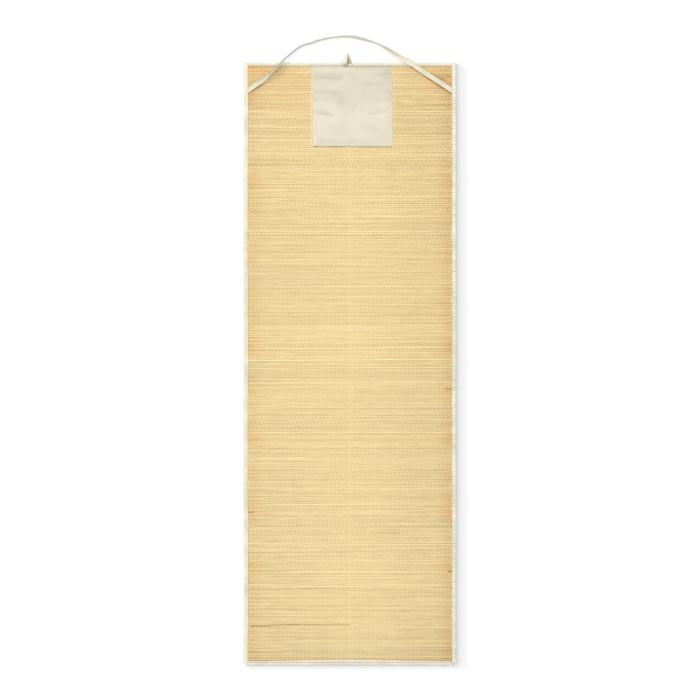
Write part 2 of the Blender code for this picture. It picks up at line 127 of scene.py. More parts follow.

# Stitched groove of a tape: how far it is from the outer edge, depth, and the painted shade in it
SIDE_GROOVE = (8.6 * MM, 0.20 * MM, 0.04)
TOP_GROOVE = (6.6 * MM, 0.20 * MM, 0.04)
BOTTOM_GROOVE = (7.1 * MM, 0.90 * MM, 0.34)
GROOVE_HALF = 0.3 * MM
GROOVE_START = 1.3 * MM
# Painted shade on a tape's rounded fold, painted light on its loose lip and on the right tape's folded
# end, painted shade at the bottom tape's tongue; the top and bottom tapes are darker all along
TAPE_RIM_SHADE = 0.02
TAPE_LIP_LIGHT = 0.05
TAPE_END_LIGHT = 0.10
TAPE_TONGUE_SHADE = 0.30
TOP_TAPE_SHADE = 0.05
BOTTOM_TAPE_SHADE = 0.03

# Patch pocket
POCKET_TOP = 0.8420
POCKET_BOTTOM = 0.6157
POCKET_LEFT_AT_TOP = -0.1074
POCKET_LEFT_AT_BOTTOM = -0.1036
POCKET_RIGHT_AT_TOP = 0.1191
POCKET_RIGHT_AT_BOTTOM = 0.1208
POCKET_WIDTH = POCKET_RIGHT_AT_TOP - POCKET_LEFT_AT_TOP
POCKET_CLOTH = 0.7 * MM
POCKET_HEM = 11.0 * MM
POCKET_MOUTH_HEM = 6.5 * MM
POCKET_HEM_EXTRA = 0.3 * MM
POCKET_HEM_STEP = 1.2 * MM
POCKET_PUFF = 2.3 * MM
POCKET_PUFF_RIM = 22.0 * MM
POCKET_GRID = 1.8 * MM
POCKET_UNDER_STEP = 2
POCKET_RIM = 0.3 * MM
POCKET_EDGE = 0.2 * MM
POCKET_EASE = 2.2 * MM
POCKET_TUCK = 0.5 * MM
POCKET_SEAM_INSETS = (1.8 * MM, POCKET_HEM - 1.2 * MM)
POCKET_MOUTH_SEAM = POCKET_MOUTH_HEM - 1.0 * MM
POCKET_MOUTH_SPAN = (0.02, 0.98)

# Carry strap and closing loop
STRAP_WIDTH = STRAP_FLAT[0]
STRAP_THICK = 1.5 * MM
STRAP_STEP = 2.6 * MM
STRAP_ROOT_SKEW = math.radians(36.0)
STRAP_SKEW_LENGTH = 20.0 * MM
LOOP_WIDTH = LOOP_FLAT[0]
LOOP_THICK = 1.2 * MM
LOOP_STEP = 0.9 * MM
RIBBON_EASE = 0.45 * MM
RIBBON_GROOVE_HALF = 0.9 * MM
RIBBON_GROOVE = 0.2 * MM
STITCH_LENGTH = 2.5 * MM
STITCH_PITCH = 3.6 * MM
STITCH_WIDTH = 0.55 * MM
STITCH_HEIGHT = 0.22 * MM
TAPE_STITCH_LIFT = 0.06 * MM
POCKET_STITCH_LIFT = 0.05 * MM
RIBBON_STITCH_SINK = 0.1 * MM

# Slow waves of the long edges: side (-1 left, 1 right), height, wavelength, phase
EDGE_WAVES = (
    (-1, 0.5 * MM, 0.640, 0.9),
    (-1, 0.3 * MM, 0.235, 2.1),
    (1, 0.3 * MM, 0.520, 0.3),
    (1, 0.2 * MM, 0.180, 1.7),
)

# Slow bends of the straws' rows: height, wavelength along the mat, wavelength across it, phase
ROW_BENDS = (
    (1.4 * MM, 0.90, 1.30, 0.4),
    (0.6 * MM, 0.37, 0.62, 2.0),
)
ROW_BEND_SHIFT = 0.13
ROW_BEND_END = 0.012
ROW_BEND_FADE = 0.08

# Tone of the straws, from 0, dark, to 1, pale
TONE = 0.570
TONE_LEAST = 0.02
STRAW_TONE = 0.06
SHED_TONE = 0.035
STRAW_TONE_WANDER = (0.030, 0.028)
STRAW_TONE_ROWS = 5
STRAW_TONE_MOST = 0.10
NEIGHBOUR_TONE = 0.060

# Bands of like straws: how far apart their tones change along the mat, and how much
TONE_BANDS = ((0.007, 0.010), (0.020, 0.018), (0.070, 0.012))

# Contrast on the mat's middle line, and what is added towards its sides
SIDES_START = 0.22
BAND_CONTRAST = (0.20, 0.26)
STRAW_CONTRAST = (0.24, 0.48)
NEIGHBOUR_CONTRAST = (0.42, 0.40)
# How strong the painted light on the straws' crests is on the middle line, and what is added towards
# the sides
CREST_CONTRAST = (1.25, -0.65)

# Changes towards one side: side (-1 left, 1 right), start, reach, amount
SIDE_DARKENING = (
    (1, 0.060, 0.140, 0.030),
    (1, 0.235, 0.060, 0.090),
    (-1, 0.230, 0.060, 0.045),
)
CALMER_RIGHT = (1, 0.060, 0.100, 0.14)

# Paler straw beside the middle line, and painted light on the straw beside the tapes and the pocket,
# where they shade it: amount, reach. The last is how far under the pocket's edge that painted light
# reaches.
PALE_MIDDLE = (0.035, 2.4 * MM)
PAINTED_LIGHT_AT_SIDE_TAPE = (0.16, 3.0 * MM)
PAINTED_LIGHT_AT_TOP_TAPE = (0.12, 4.0 * MM)
PAINTED_LIGHT_AT_POCKET = (0.14, 3.0 * MM)
PAINTED_LIGHT_UNDER_POCKET = 4.0 * MM

# Dark lines on the straw, mostly painted shade: in creases between straws, beside the tapes, beside the
# carry strap as its shadow, and just below the pocket's lower edge. The last two rows darken broad
# bands. Columns: start x, start y, end x, end y, half width, darkening
CREASES_AND_PAINTED_SHADOWS = (
    (-0.280, -0.7416, -0.141, -0.7368, 1.6 * MM, 0.40),
    (-0.141, -0.7368, 0.000, -0.7374, 1.5 * MM, 0.28),
    (-0.226, -0.6822, 0.141, -0.6822, 1.5 * MM, 0.16),
    (0.060, -0.4776, 0.140, -0.4776, 1.8 * MM, 0.20),
    (-0.283, 0.4330, 0.000, 0.4330, 1.8 * MM, 0.12),
    (0.275, -0.0709, 0.288, -0.0709, 1.5 * MM, 0.60),
    (-0.288, -0.4190, -0.275, -0.4190, 1.3 * MM, 0.48),
    (0.280, -0.5865, 0.288, -0.5865, 1.3 * MM, 0.45),
    (-0.288, -0.8325, -0.060, -0.8325, 2.5 * MM, 0.10),
    (0.1574, 0.8490, 0.1814, 0.8374, 1.5 * MM, 0.36),
    (0.1814, 0.8374, 0.2306, 0.8026, 1.5 * MM, 0.45),
    (0.2306, 0.8026, 0.2875, 0.7635, 1.4 * MM, 0.40),
    (0.2180, 0.8100, 0.2632, 0.7788, 2.2 * MM, 0.26),
    (-0.2875, 0.7660, -0.2500, 0.7890, 1.8 * MM, 0.50),
    (0.2310, 0.8235, 0.2620, 0.8045, 1.6 * MM, 0.28),
    (0.2620, 0.8045, 0.2870, 0.7885, 1.3 * MM, 0.18),
    (0.2876, 0.8030, 0.2876, 0.7890, 1.2 * MM, 0.45),
    (-0.2120, 0.8230, -0.1910, 0.8480, 2.2 * MM, 0.22),
    (-0.1050, 0.6142, -0.0880, 0.6142, 1.0 * MM, 0.35),
    (-0.0810, 0.6142, -0.0740, 0.6142, 1.0 * MM, 0.30),
    (-0.0640, 0.6140, -0.0200, 0.6140, 1.0 * MM, 0.22),
    (0.0220, 0.6134, 0.1160, 0.6128, 1.0 * MM, 0.18),
    (-0.288, -0.7900, 0.288, -0.7900, 90.0 * MM, 0.05),
    (-0.288, 0.7600, 0.288, 0.7600, 110.0 * MM, 0.04),
)

# Warmer, more orange straw: middle x, middle y, reach along x, reach along y, how warm
WARM_PATCHES = (
    (-0.250, 0.832, 0.060, 0.018, 0.90),
    (0.262, 0.800, 0.045, 0.028, 0.90),
    (0.200, 0.838, 0.070, 0.010, 0.50),
    (-0.284, 0.768, 0.020, 0.014, 0.80),
    (-0.150, 0.800, 0.120, 0.060, 0.25),
    (0.000, -0.800, 0.300, 0.070, -0.16),
    (0.000, -0.450, 0.600, 0.400, -0.10),
)
WARM_EDGE = 0.026
WARM_EDGE_MEAN = 0.36
WARM_EDGE_WANDER = (0.025, 0.34)
WARM_LEAST = -0.2
WARM_LOSS = (0.03, 0.20, 0.36)

# Soft folds of the pocket: start x, start y, end x, end y, half width, height
POCKET_FOLDS = (
    (-0.104, 0.811, -0.026, 0.803, 10.0 * MM, -1.8 * MM),
    (-0.088, 0.832, 0.000, 0.828, 7.0 * MM, 0.8 * MM),
    (-0.090, 0.789, -0.030, 0.785, 12.0 * MM, 0.9 * MM),
    (-0.104, 0.767, -0.037, 0.761, 8.0 * MM, -1.3 * MM),
    (-0.040, 0.750, -0.020, 0.725, 7.0 * MM, -1.0 * MM),
    (-0.096, 0.709, -0.053, 0.700, 7.0 * MM, -1.3 * MM),
    (0.084, 0.813, 0.117, 0.823, 8.0 * MM, -2.0 * MM),
    (0.050, 0.800, 0.086, 0.797, 9.0 * MM, 1.0 * MM),
    (0.104, 0.762, 0.117, 0.774, 6.0 * MM, -1.5 * MM),
    (0.042, 0.786, 0.080, 0.784, 6.0 * MM, -0.8 * MM),
    (0.059, 0.704, 0.105, 0.708, 7.0 * MM, -0.9 * MM),
    (0.070, 0.660, 0.100, 0.646, 11.0 * MM, -0.9 * MM),
    (-0.070, 0.650, -0.010, 0.642, 9.0 * MM, -0.8 * MM),
    (-0.060, 0.680, 0.050, 0.676, 14.0 * MM, 0.9 * MM),
)

# Painted shade on the pocket, in the valleys of its folds, along its mouth and beside its hems; a
# negative darkening is painted light on a ridge. Columns: start x, start y, end x, end y, half width,
# darkening
POCKET_PAINTED_SHADES = (
    (0.006, 0.8413, 0.119, 0.8406, 1.6 * MM, 0.34),
    (-0.107, 0.8413, -0.014, 0.8413, 1.6 * MM, 0.14),
    (0.018, 0.8345, 0.110, 0.8335, 5.0 * MM, 0.10),
    (-0.104, 0.8305, 0.000, 0.8305, 1.5 * MM, -0.04),
    (-0.102, 0.8100, -0.030, 0.8060, 9.0 * MM, 0.09),
    (-0.098, 0.7815, -0.026, 0.7790, 8.0 * MM, -0.06),
    (0.098, 0.8160, 0.112, 0.8180, 9.0 * MM, 0.07),
    (0.088, 0.8040, 0.114, 0.8100, 11.0 * MM, 0.06),
    (-0.098, 0.7660, -0.040, 0.7650, 6.0 * MM, 0.05),
    (-0.036, 0.7550, -0.020, 0.7270, 13.0 * MM, 0.06),
    (-0.096, 0.7340, -0.055, 0.7360, 9.0 * MM, -0.04),
    (-0.100, 0.7480, -0.056, 0.7480, 7.0 * MM, 0.06),
    (0.030, 0.7470, 0.112, 0.7470, 7.0 * MM, 0.035),
    (-0.098, 0.7110, -0.078, 0.7080, 6.5 * MM, 0.08),
    (-0.078, 0.7080, -0.052, 0.7020, 6.0 * MM, 0.08),
    (0.056, 0.7080, 0.098, 0.7140, 4.0 * MM, 0.06),
    (0.060, 0.7330, 0.112, 0.7340, 3.0 * MM, -0.03),
    (0.006, 0.7140, 0.010, 0.7280, 7.0 * MM, 0.06),
    (0.108, 0.7750, 0.114, 0.7610, 6.0 * MM, 0.08),
    (-0.096, 0.6850, -0.096, 0.6480, 2.4 * MM, 0.07),
    (0.113, 0.8000, 0.114, 0.6400, 5.0 * MM, 0.03),
    (0.070, 0.6580, 0.096, 0.6380, 15.0 * MM, 0.05),
    (-0.085, 0.6320, 0.020, 0.6290, 8.0 * MM, 0.04),
)
# A darker upper part of the pocket, painted light on its sewn rim, and more painted light on the rim's
# walls and its underside
POCKET_UPPER_SHADE = 0.075
POCKET_UPPER_START = 0.705
POCKET_UPPER_END = 0.770
POCKET_RIM_LIGHT = 0.07
POCKET_WALL_LIGHT = 0.45

# Carry strap, left root to right root: x, y, height of its lower edge, lean in degrees, painted shade
STRAP_ROUTE = (
    (-0.2880, 0.7738, 2.9 * MM, 3, 0.04),
    (-0.2674, 0.7889, 2.9 * MM, 4, 0.06),
    (-0.2448, 0.8040, 3.0 * MM, 24, 0.12),
    (-0.2278, 0.8195, 3.4 * MM, 48, 0.08),
    (-0.2123, 0.8322, 4.4 * MM, 58, 0.12),
    (-0.1981, 0.8456, 5.2 * MM, 65, 0.18),
    (-0.1854, 0.8602, 4.0 * MM, 69, 0.28),
    (-0.1684, 0.8752, 1.4 * MM, 70, 0.30),
    (-0.1514, 0.8891, 0.2 * MM, 69, 0.24),
    (-0.1344, 0.8992, 0.0 * MM, 66, 0.16),
    (-0.1090, 0.9067, 0.0 * MM, 60, 0.12),
    (-0.0835, 0.9155, 0.0 * MM, 60, 0.11),
    (-0.0495, 0.9220, 0.0 * MM, 65, 0.10),
    (-0.0156, 0.9249, 0.0 * MM, 60, 0.09),
    (0.0099, 0.9237, 0.0 * MM, 53, 0.08),
    (0.0354, 0.9180, 0.0 * MM, 48, 0.08),
    (0.0608, 0.9108, 0.0 * MM, 68, 0.14),
    (0.0863, 0.9007, 0.0 * MM, 66, 0.12),
    (0.1118, 0.8861, 0.6 * MM, 44, 0.08),
    (0.1373, 0.8684, 3.2 * MM, 18, 0.02),
    (0.1542, 0.8594, 5.4 * MM, 9, 0.04),
    (0.1726, 0.8498, 6.0 * MM, 6, 0.02),
    (0.1981, 0.8327, 4.6 * MM, 6, 0.03),
    (0.2264, 0.8140, 3.2 * MM, 6, 0.04),
    (0.2575, 0.7942, 2.9 * MM, 4, 0.06),
    (0.2880, 0.7745, 2.9 * MM, 3, 0.06),
)

# Closing loop, from its right root round the tip to its left root: x, y, z, turn of its width in
# degrees, share of its full width
LOOP_ROUTE = (
    (-0.0004, 0.8428, 5.5 * MM, 4, 0.96),
    (-0.0008, 0.8455, 5.3 * MM, 6, 1.00),
    (-0.0018, 0.8500, 4.9 * MM, 12, 1.00),
    (-0.0042, 0.8580, 3.9 * MM, 15, 1.00),
    (-0.0068, 0.8670, 2.1 * MM, 13, 0.98),
    (-0.0088, 0.8730, 1.3 * MM, 9, 0.90),
    (-0.0100, 0.8760, 2.6 * MM, 5, 0.76),
    (-0.0107, 0.8770, 5.2 * MM, 2, 0.66),
    (-0.0113, 0.8760, 7.9 * MM, 0, 0.74),
    (-0.0123, 0.8725, 9.7 * MM, -1, 0.90),
    (-0.0136, 0.8665, 10.8 * MM, -1, 1.00),
    (-0.0143, 0.8570, 11.1 * MM, 0, 1.00),
    (-0.0145, 0.8500, 10.3 * MM, 0, 1.00),
    (-0.0145, 0.8460, 8.8 * MM, 0, 0.97),
    (-0.0145, 0.8440, 7.1 * MM, 0, 0.90),
    (-0.0145, 0.8428, 5.4 * MM, 0, 0.80),
)

# Looks: colours are linear. The two distances where the straws' painted dip shade is full and where it
# ends are in spaces between two threads.
STRAW_TONES = (
    (0.00, (0.20, 0.130, 0.055)),
    (0.30, (0.50, 0.360, 0.165)),
    (0.60, (0.78, 0.622, 0.331)),
    (1.00, (0.95, 0.805, 0.500)),
)
# Painted shade in the straws' dips beside the threads over them, and painted light on their crests:
# where the shade is full, where it ends, how light the crests are, and how dark and how common the
# deeply shaded dips are
DIP_SHADE_FULL = 0.19 * 0.6
DIP_SHADE_END = 0.19 * 1.4
PAINTED_CREST_LIGHT = 0.10
STRONG_DIP_SHADE = 0.34
STRONG_DIP_SHADE_SHARE = 0.30
STRAW_FIBRES = (30.0, 2600.0, 2600.0)
STRAW_PATCHES = (22.0, 120.0, 60.0)
FIBRE_TONE = 0.16
PATCH_TONE = 0.14
THREAD_COLOUR = (0.96, 0.81, 0.51)
TAPE_COLOUR = (0.690, 0.645, 0.530)
TAPE_SHADE = (0.565, 0.520, 0.410)
STRAP_COLOUR = (0.652, 0.605, 0.464)
STRAP_SHADE = (0.578, 0.534, 0.398)
LOOP_COLOUR = (0.665, 0.63, 0.52)
LOOP_SHADE = (0.585, 0.55, 0.44)
# How red, green and blue each lose their part of the painted shade on the strap and on the loop
STRAP_GREYING = (1.0, 0.80, 0.45)
LOOP_GREYING = (0.87, 0.91, 1.05)
# Painted shade on the strap's raised inner edge, growing from the first lean in degrees over the
# second, on the first corners of its section
STRAP_EDGE_SHADE = 0.17
STRAP_EDGE_LEANS = (35.0, 20.0)
STRAP_EDGE_CORNERS = 4
POCKET_COLOUR = (0.575, 0.535, 0.430)
POCKET_SHADE = (0.540, 0.500, 0.395)
STITCH_COLOUR = (0.50, 0.44, 0.33)
POCKET_STITCH_COLOUR = (0.72, 0.68, 0.54)

# Painted shade along the loop, from its right root at 0 to its left root at 1: under its upper leg, at
# that leg's lower end and round its tip. Each is amount, start or place, reach
LOOP_ROOT = 0.10
LOOP_UNDER_SHADE = (0.54, 0.10, 0.38)
LOOP_END_SHADE = (0.26, 0.80, 0.16)
LOOP_TIP_SHADE = (0.18, 0.47, 0.07)

# Ribs of the cloths along and across, in radians a metre
TAPE_RIBS = (9000.0, 9000.0)
POCKET_RIBS = (7000.0, 7000.0)
RIBBON_RIBS = (9000.0, 6000.0)

# Fine surface detail: noise turns a metre along x, y and z
THREAD_TWIST = (1500.0, 4000.0, 1500.0)
STITCH_TWIST = (4000.0, 4000.0, 4000.0)
CLOTH_BLOTCHES = (26.0, 26.0, 26.0)
CLOTH_YARNS = (1800.0, 1800.0, 1800.0)

# Roughness, gloss and unevenness. A bump is its strength and height.
STRAW_ROUGHNESS = 0.55
THREAD_ROUGHNESS = 0.85
CLOTH_ROUGHNESS = 0.9
STITCH_ROUGHNESS = 0.7
STRAW_BUMP = (0.35, 0.15 * MM)
THREAD_BUMP = (0.4, 0.10 * MM)
CLOTH_BUMP = (0.35, 0.12 * MM)
STITCH_BUMP = (0.3, 0.05 * MM)
CLOTH_SHEEN = 0.15
YARN_TONE = 0.30
YARN_BUMP = 0.8
BLOTCH_RANGE = (0.45, 0.85)
GLOSS = 0.25

# Floor and lights. STRAP_SHADOW is the part of the key light that the strap shades.
FLOOR_COLOUR = (0.70, 0.70, 0.70)
FLOOR_HALF = 8.0
FLOOR_DROP = 0.02 * MM
SKY_STRENGTH = 1.10
LAMP_SIZE = 2.6
KEY_PLACE = (-4.0, 10.0, 7.2)
KEY_POWER = 1050.0
STRAP_SHADOW = 0.4
STRAP_KEY_PLACE = (-1.9, -9.7, 8.3)
STRAP_KEY_POWER = 1250.0
ARCH_PLACE = (-0.06, 0.90, 1.0)
ARCH_CONE = math.radians(34)
ARCH_SOFTNESS = 0.2
ARCH_POWER = 5.0

# Low lights that cross the floor from the left: name, height and spread in degrees, strength
LOW_LIGHTS = (("low", 5.0, 6.0, 6.7), ("middle", 15.0, 16.0, 2.43))
LOW_HEADING = (0.92, -0.39)


def smooth_step(value):
    """Goes from 0 to 1 as value does, level at both ends."""
    share = np.clip(value, 0.0, 1.0)
    return share * share * (3 - 2 * share)


def beside(distance, amount, reach):
    """The amount where distance is nought, falling off over reach."""
    return amount * np.exp(-((distance / reach) ** 2))


def towards_side(x, side, start, reach, amount):
    """Nought up to start on one side of the mat, and the amount past start and reach together."""
    return amount * smooth_step((side * x - start) / reach)


def from_middle(x, contrast):
    """The first number of contrast on the middle line, and both together near the mat's sides."""
    return contrast[0] + contrast[1] * np.minimum(1, np.abs(x) / SIDES_START)


def edge_wave(side, y):
    """How far a long edge is out of line. side is -1 on the left and 1 on the right."""
    return sum(
        height * np.sin(math.tau * y / length + phase)
        for wave_side, height, length, phase in EDGE_WAVES
        if wave_side == side
    )


def mat_x(x, y):
    """x on the real mat, whose long edges wander a little."""
    left = edge_wave(-1, y) * np.clip(-x / HALF_WIDTH, 0, 1)
    right = edge_wave(1, y) * np.clip(x / HALF_WIDTH, 0, 1)
    return x + left + right


def wander(rng, lines, places, knot, height):
    """Smooth random offsets at places, a row for each of lines, with a new value every knot."""
    start, end = places.min(), places.max()
    knots = np.arange(start, end + knot, knot)
    values = rng.normal(0, height, (lines, len(knots)))
    return np.array([np.interp(places, knots, row) for row in values])


def segment_share(x, y, start, end, half_width):
    """1 on the line from start to end, falling off over half_width."""
    along_x, along_y = end[0] - start[0], end[1] - start[1]
    length = math.hypot(along_x, along_y)
    along = ((x - start[0]) * along_x + (y - start[1]) * along_y) / length
    across = ((x - start[0]) * along_y - (y - start[1]) * along_x) / length
    beyond = np.maximum(0, np.maximum(-along, along - length))
    return np.exp(-((across / half_width) ** 2) - (beyond / half_width) ** 2)


def marks(rows, x, y):
    """The sum at each point of rows of start x, start y, end x, end y, half width and amount."""
    return sum(
        amount * segment_share(x, y, (start_x, start_y), (end_x, end_y), half_width)
        for start_x, start_y, end_x, end_y, half_width, amount in rows
    )


def unit(vectors):
    return vectors / np.linalg.norm(vectors, axis=-1, keepdims=True)


def travelled(points):
    """How far along the line through all the points each one is."""
    return np.concatenate([[0], np.cumsum(np.linalg.norm(np.diff(points, axis=0), axis=1))])


# Meshes


def add_object(name, data):
    thing = bpy.data.objects.new(name, data)
    bpy.context.scene.collection.objects.link(thing)
    return thing


def tube_faces(tubes, rings, corners):
    """Quads and end faces of tubes whose points are numbered tube by tube and ring by ring."""
    number = np.arange(tubes * rings * corners).reshape(tubes, rings, corners)
    after = np.roll(number, -1, axis=2)
    quads = np.stack([number[:, :-1], after[:, :-1], after[:, 1:], number[:, 1:]], -1)
    ends = np.concatenate([number[:, 0, ::-1], number[:, -1]])
    return quads.reshape(-1, 4).tolist() + ends.tolist()


def mesh_piece(name, points, faces, material, node, slot, layers=None, uv=None):
    """A piece that rides on the mat. node is the solid that it stands for, or None."""
    mesh = bpy.data.meshes.new(name)
    mesh.from_pydata(points.tolist(), [], faces)
    mesh.materials.append(material)
    for layer_name, values in (layers or {}).items():
        layer = mesh.attributes.new(layer_name, "FLOAT", "POINT")
        layer.data.foreach_set("value", np.ascontiguousarray(values, np.float32).ravel())
    for layer_name, values in (uv or {}).items():
        layer = mesh.uv_layers.new(name=layer_name)
        corners = np.empty(len(mesh.loops), np.int32)
        mesh.loops.foreach_get("vertex_index", corners)
        layer.data.foreach_set("uv", values[corners].astype(np.float32).ravel())
    mesh.shade_smooth()
    mesh.validate()
    piece = add_object(name, mesh)
    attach(piece, "root")
    if node:
        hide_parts(node)
    return piece


def plan_uv(points, lower):
    """A flat layout: upper points in its left half, those that lower marks in its right half."""
    low, high = points[:, :2].min(0), points[:, :2].max(0)
    share = (points[:, :2] - low) / (high - low)
    return np.stack([(share[:, 0] * PLAN_SPAN + lower) / 2, share[:, 1]], -1)


def tube_piece(name, rings, material, node, slot, layers=None, uv=None, sharp=None):
    """Closed tubes. rings has the shape (tubes, rings, corners, 3), and sharp is in degrees."""
    faces = tube_faces(*rings.shape[:3])
    piece = mesh_piece(name, rings.reshape(-1, 3), faces, material, node, slot, layers, uv)
    if sharp:
        piece.data.set_sharp_from_angle(angle=math.radians(sharp))
    return piece


def cloth_layout(along, across):
    """The flat layout of a cloth tube's points, in metres."""
    return {"cloth": np.stack(np.meshgrid(along, across, indexing="ij"), -1).reshape(-1, 2)}


def stitch_piece(name, centres, alongs, normals, material, slot):
    """Short stitches, each a small closed eight-sided bead lying along the seam."""
    reach = alongs * STITCH_LENGTH / 2
    half = np.cross(normals, alongs) * STITCH_WIDTH / 2
    lift = normals * STITCH_HEIGHT
    corners = [centres + offset for offset in (-reach, half, reach, -half, lift, -lift)]
    above = [(corner, (corner + 1) % 4, 4) for corner in range(4)]
    below = [(after, corner, 5) for corner, after, _ in above]
    faces = (np.arange(len(centres)) * len(corners))[:, None, None] + np.array(above + below)
    points = np.stack(corners, axis=1).reshape(-1, 3)
    return mesh_piece(name, points, faces.reshape(-1, 3).tolist(), material, None, slot)


# Materials


def new_material(name, roughness):
    material = bpy.data.materials.new(name)
    material.use_nodes = True
    tree = material.node_tree
    shader = tree.nodes["Principled BSDF"]
    shader.inputs["Roughness"].default_value = roughness
    shader.inputs["Specular IOR Level"].default_value = GLOSS
    return material, tree, shader


def stretched_noise(tree, stretch, detail):
    """Noise whose coordinates are stretched by the three numbers of stretch."""
    place = tree.nodes.new("ShaderNodeTexCoord")
    mapping = tree.nodes.new("ShaderNodeMapping")
    mapping.inputs["Scale"].default_value = stretch
    tree.links.new(place.outputs["Object"], mapping.inputs["Vector"])
    noise = tree.nodes.new("ShaderNodeTexNoise")
    noise.inputs["Scale"].default_value = 1.0
    noise.inputs["Detail"].default_value = detail
    tree.links.new(mapping.outputs["Vector"], noise.inputs["Vector"])
    return noise.outputs["Fac"]


def attribute(tree, name):
    """A number that a mesh keeps at each point."""
    node = tree.nodes.new("ShaderNodeAttribute")
    node.attribute_name = name
    return node.outputs["Fac"]


def arithmetic(tree, operation, *values):
    """A Math node whose values are sockets or numbers."""
    node = tree.nodes.new("ShaderNodeMath")
    node.operation = operation
    for socket, value in zip(node.inputs, values):
        if isinstance(value, (int, float)):
            socket.default_value = value
        else:
            tree.links.new(value, socket)
    return node.outputs["Value"]


def add_bump(tree, shader, height, strength, distance):
    bump = tree.nodes.new("ShaderNodeBump")
    bump.inputs["Strength"].default_value = strength
    bump.inputs["Distance"].default_value = distance
    tree.links.new(height, bump.inputs["Height"])
    tree.links.new(bump.outputs["Normal"], shader.inputs["Normal"])


def colour_ramp(tree, factor, stops):
    ramp = tree.nodes.new("ShaderNodeValToRGB")
    ramp.color_ramp.elements.remove(ramp.color_ramp.elements[1])
    for number, (position, colour) in enumerate(stops):
        if number:
            element = ramp.color_ramp.elements.new(position)
        else:
            element = ramp.color_ramp.elements[0]
            element.position = position
        element.color = (*colour, 1.0)
    tree.links.new(factor, ramp.inputs["Fac"])
    return ramp.outputs["Color"]


def vector_maths(tree, operation, first, second):
    """A Vector Math node. first and second are sockets or plain values."""
    node = tree.nodes.new("ShaderNodeVectorMath")
    node.operation = operation
    other = node.inputs["Scale"] if operation == "SCALE" else node.inputs[1]
    for socket, value in ((node.inputs[0], first), (other, second)):
        if isinstance(value, tuple):
            socket.default_value = value
        else:
            tree.links.new(value, socket)
    return node.outputs["Vector"]


def scaled(tree, colour, darkening, greying=(1.0, 1.0, 1.0)):
    """colour less the share darkening, of which red, green and blue lose their parts in greying."""
    lost = vector_maths(tree, "SCALE", greying, darkening)
    return vector_maths(tree, "MULTIPLY", colour, vector_maths(tree, "SUBTRACT", (1.0, 1.0, 1.0), lost))


def straw_material():
    """Dry straw: each straw's own tone, with painted shade and light mixed into it, painted shade in
    its dips beside the threads, fine fibres along it and a slight gloss.
    """
    material, tree, shader = new_material("straw", STRAW_ROUGHNESS)
    fibres = stretched_noise(tree, STRAW_FIBRES, 3.0)
    patches = stretched_noise(tree, STRAW_PATCHES, 2.0)
    varied = arithmetic(tree, "MULTIPLY_ADD", fibres, FIBRE_TONE, attribute(tree, "tone"))
    patched = arithmetic(tree, "MULTIPLY_ADD", patches, PATCH_TONE, varied)
    centred = arithmetic(tree, "SUBTRACT", patched, (FIBRE_TONE + PATCH_TONE) / 2)
    colour = scaled(tree, colour_ramp(tree, centred, STRAW_TONES), painted_dip_shade(tree))
    colour = scaled(tree, colour, attribute(tree, "warm"), WARM_LOSS)
    tree.links.new(colour, shader.inputs["Base Color"])
    add_bump(tree, shader, fibres, *STRAW_BUMP)
    return material


def painted_dip_shade(tree):
    """Painted shade on a straw in the dip beside a thread that lies over it. Below nought it is painted
    light on the straw's crest.
    """
    part = arithmetic(tree, "FRACT", arithmetic(tree, "ADD", attribute(tree, "crossing"), 0.5))
    away = arithmetic(tree, "ABSOLUTE", arithmetic(tree, "SUBTRACT", part, 0.5))
    close = tree.nodes.new("ShaderNodeMapRange")
    close.interpolation_type = "SMOOTHSTEP"
    close.inputs["From Min"].default_value = DIP_SHADE_END
    close.inputs["From Max"].default_value = DIP_SHADE_FULL
    tree.links.new(away, close.inputs["Value"])
    return arithmetic(tree, "MULTIPLY", close.outputs["Result"], attribute(tree, "under"))


def thread_material():
    material, tree, shader = new_material("weaving_thread", THREAD_ROUGHNESS)
    shader.inputs["Base Color"].default_value = (*THREAD_COLOUR, 1.0)
    add_bump(tree, shader, stretched_noise(tree, THREAD_TWIST, 2.0), *THREAD_BUMP)
    return material


def cloth_material(name, colour, shade, ribs, greying=(1.0, 1.0, 1.0)):
    """Woven cotton. Its ribs follow the cloth's own layout, in metres, its colour is uneven, and a
    shade kept at each point darkens it: painted shade, and painted light below nought.
    """
    material, tree, shader = new_material(name, CLOTH_ROUGHNESS)
    shader.inputs["Sheen Weight"].default_value = CLOTH_SHEEN
    place = tree.nodes.new("ShaderNodeUVMap")
    place.uv_map = "cloth"
    split = tree.nodes.new("ShaderNodeSeparateXYZ")
    tree.links.new(place.outputs["UV"], split.inputs["Vector"])
    along, across = [
        arithmetic(tree, "SINE", arithmetic(tree, "MULTIPLY", split.outputs[axis], turns))
        for axis, turns in zip("XY", ribs)
    ]
    weave = arithmetic(tree, "MULTIPLY", along, across)
    blotches = stretched_noise(tree, CLOTH_BLOTCHES, 3.0)
    yarns = stretched_noise(tree, CLOTH_YARNS, 2.0)
    mixed = arithmetic(tree, "MULTIPLY_ADD", yarns, YARN_TONE, blotches)
    spread = colour_ramp(tree, mixed, zip(BLOTCH_RANGE, (shade, colour)))
    shaded = scaled(tree, spread, attribute(tree, "shade"), greying)
    tree.links.new(shaded, shader.inputs["Base Color"])
    add_bump(tree, shader, arithmetic(tree, "MULTIPLY_ADD", yarns, YARN_BUMP, weave), *CLOTH_BUMP)
    return material


def stitch_material(name, colour):
    material, tree, shader = new_material(name, STITCH_ROUGHNESS)
    shader.inputs["Base Color"].default_value = (*colour, 1.0)
    add_bump(tree, shader, stretched_noise(tree, STITCH_TWIST, 1.0), *STITCH_BUMP)
    return material


def floor_material():
    material, _, shader = new_material("floor", 1.0)
    shader.inputs["Specular IOR Level"].default_value = 0.0
    shader.inputs["Base Color"].default_value = (*FLOOR_COLOUR, 1.0)
    return material


# Woven straw


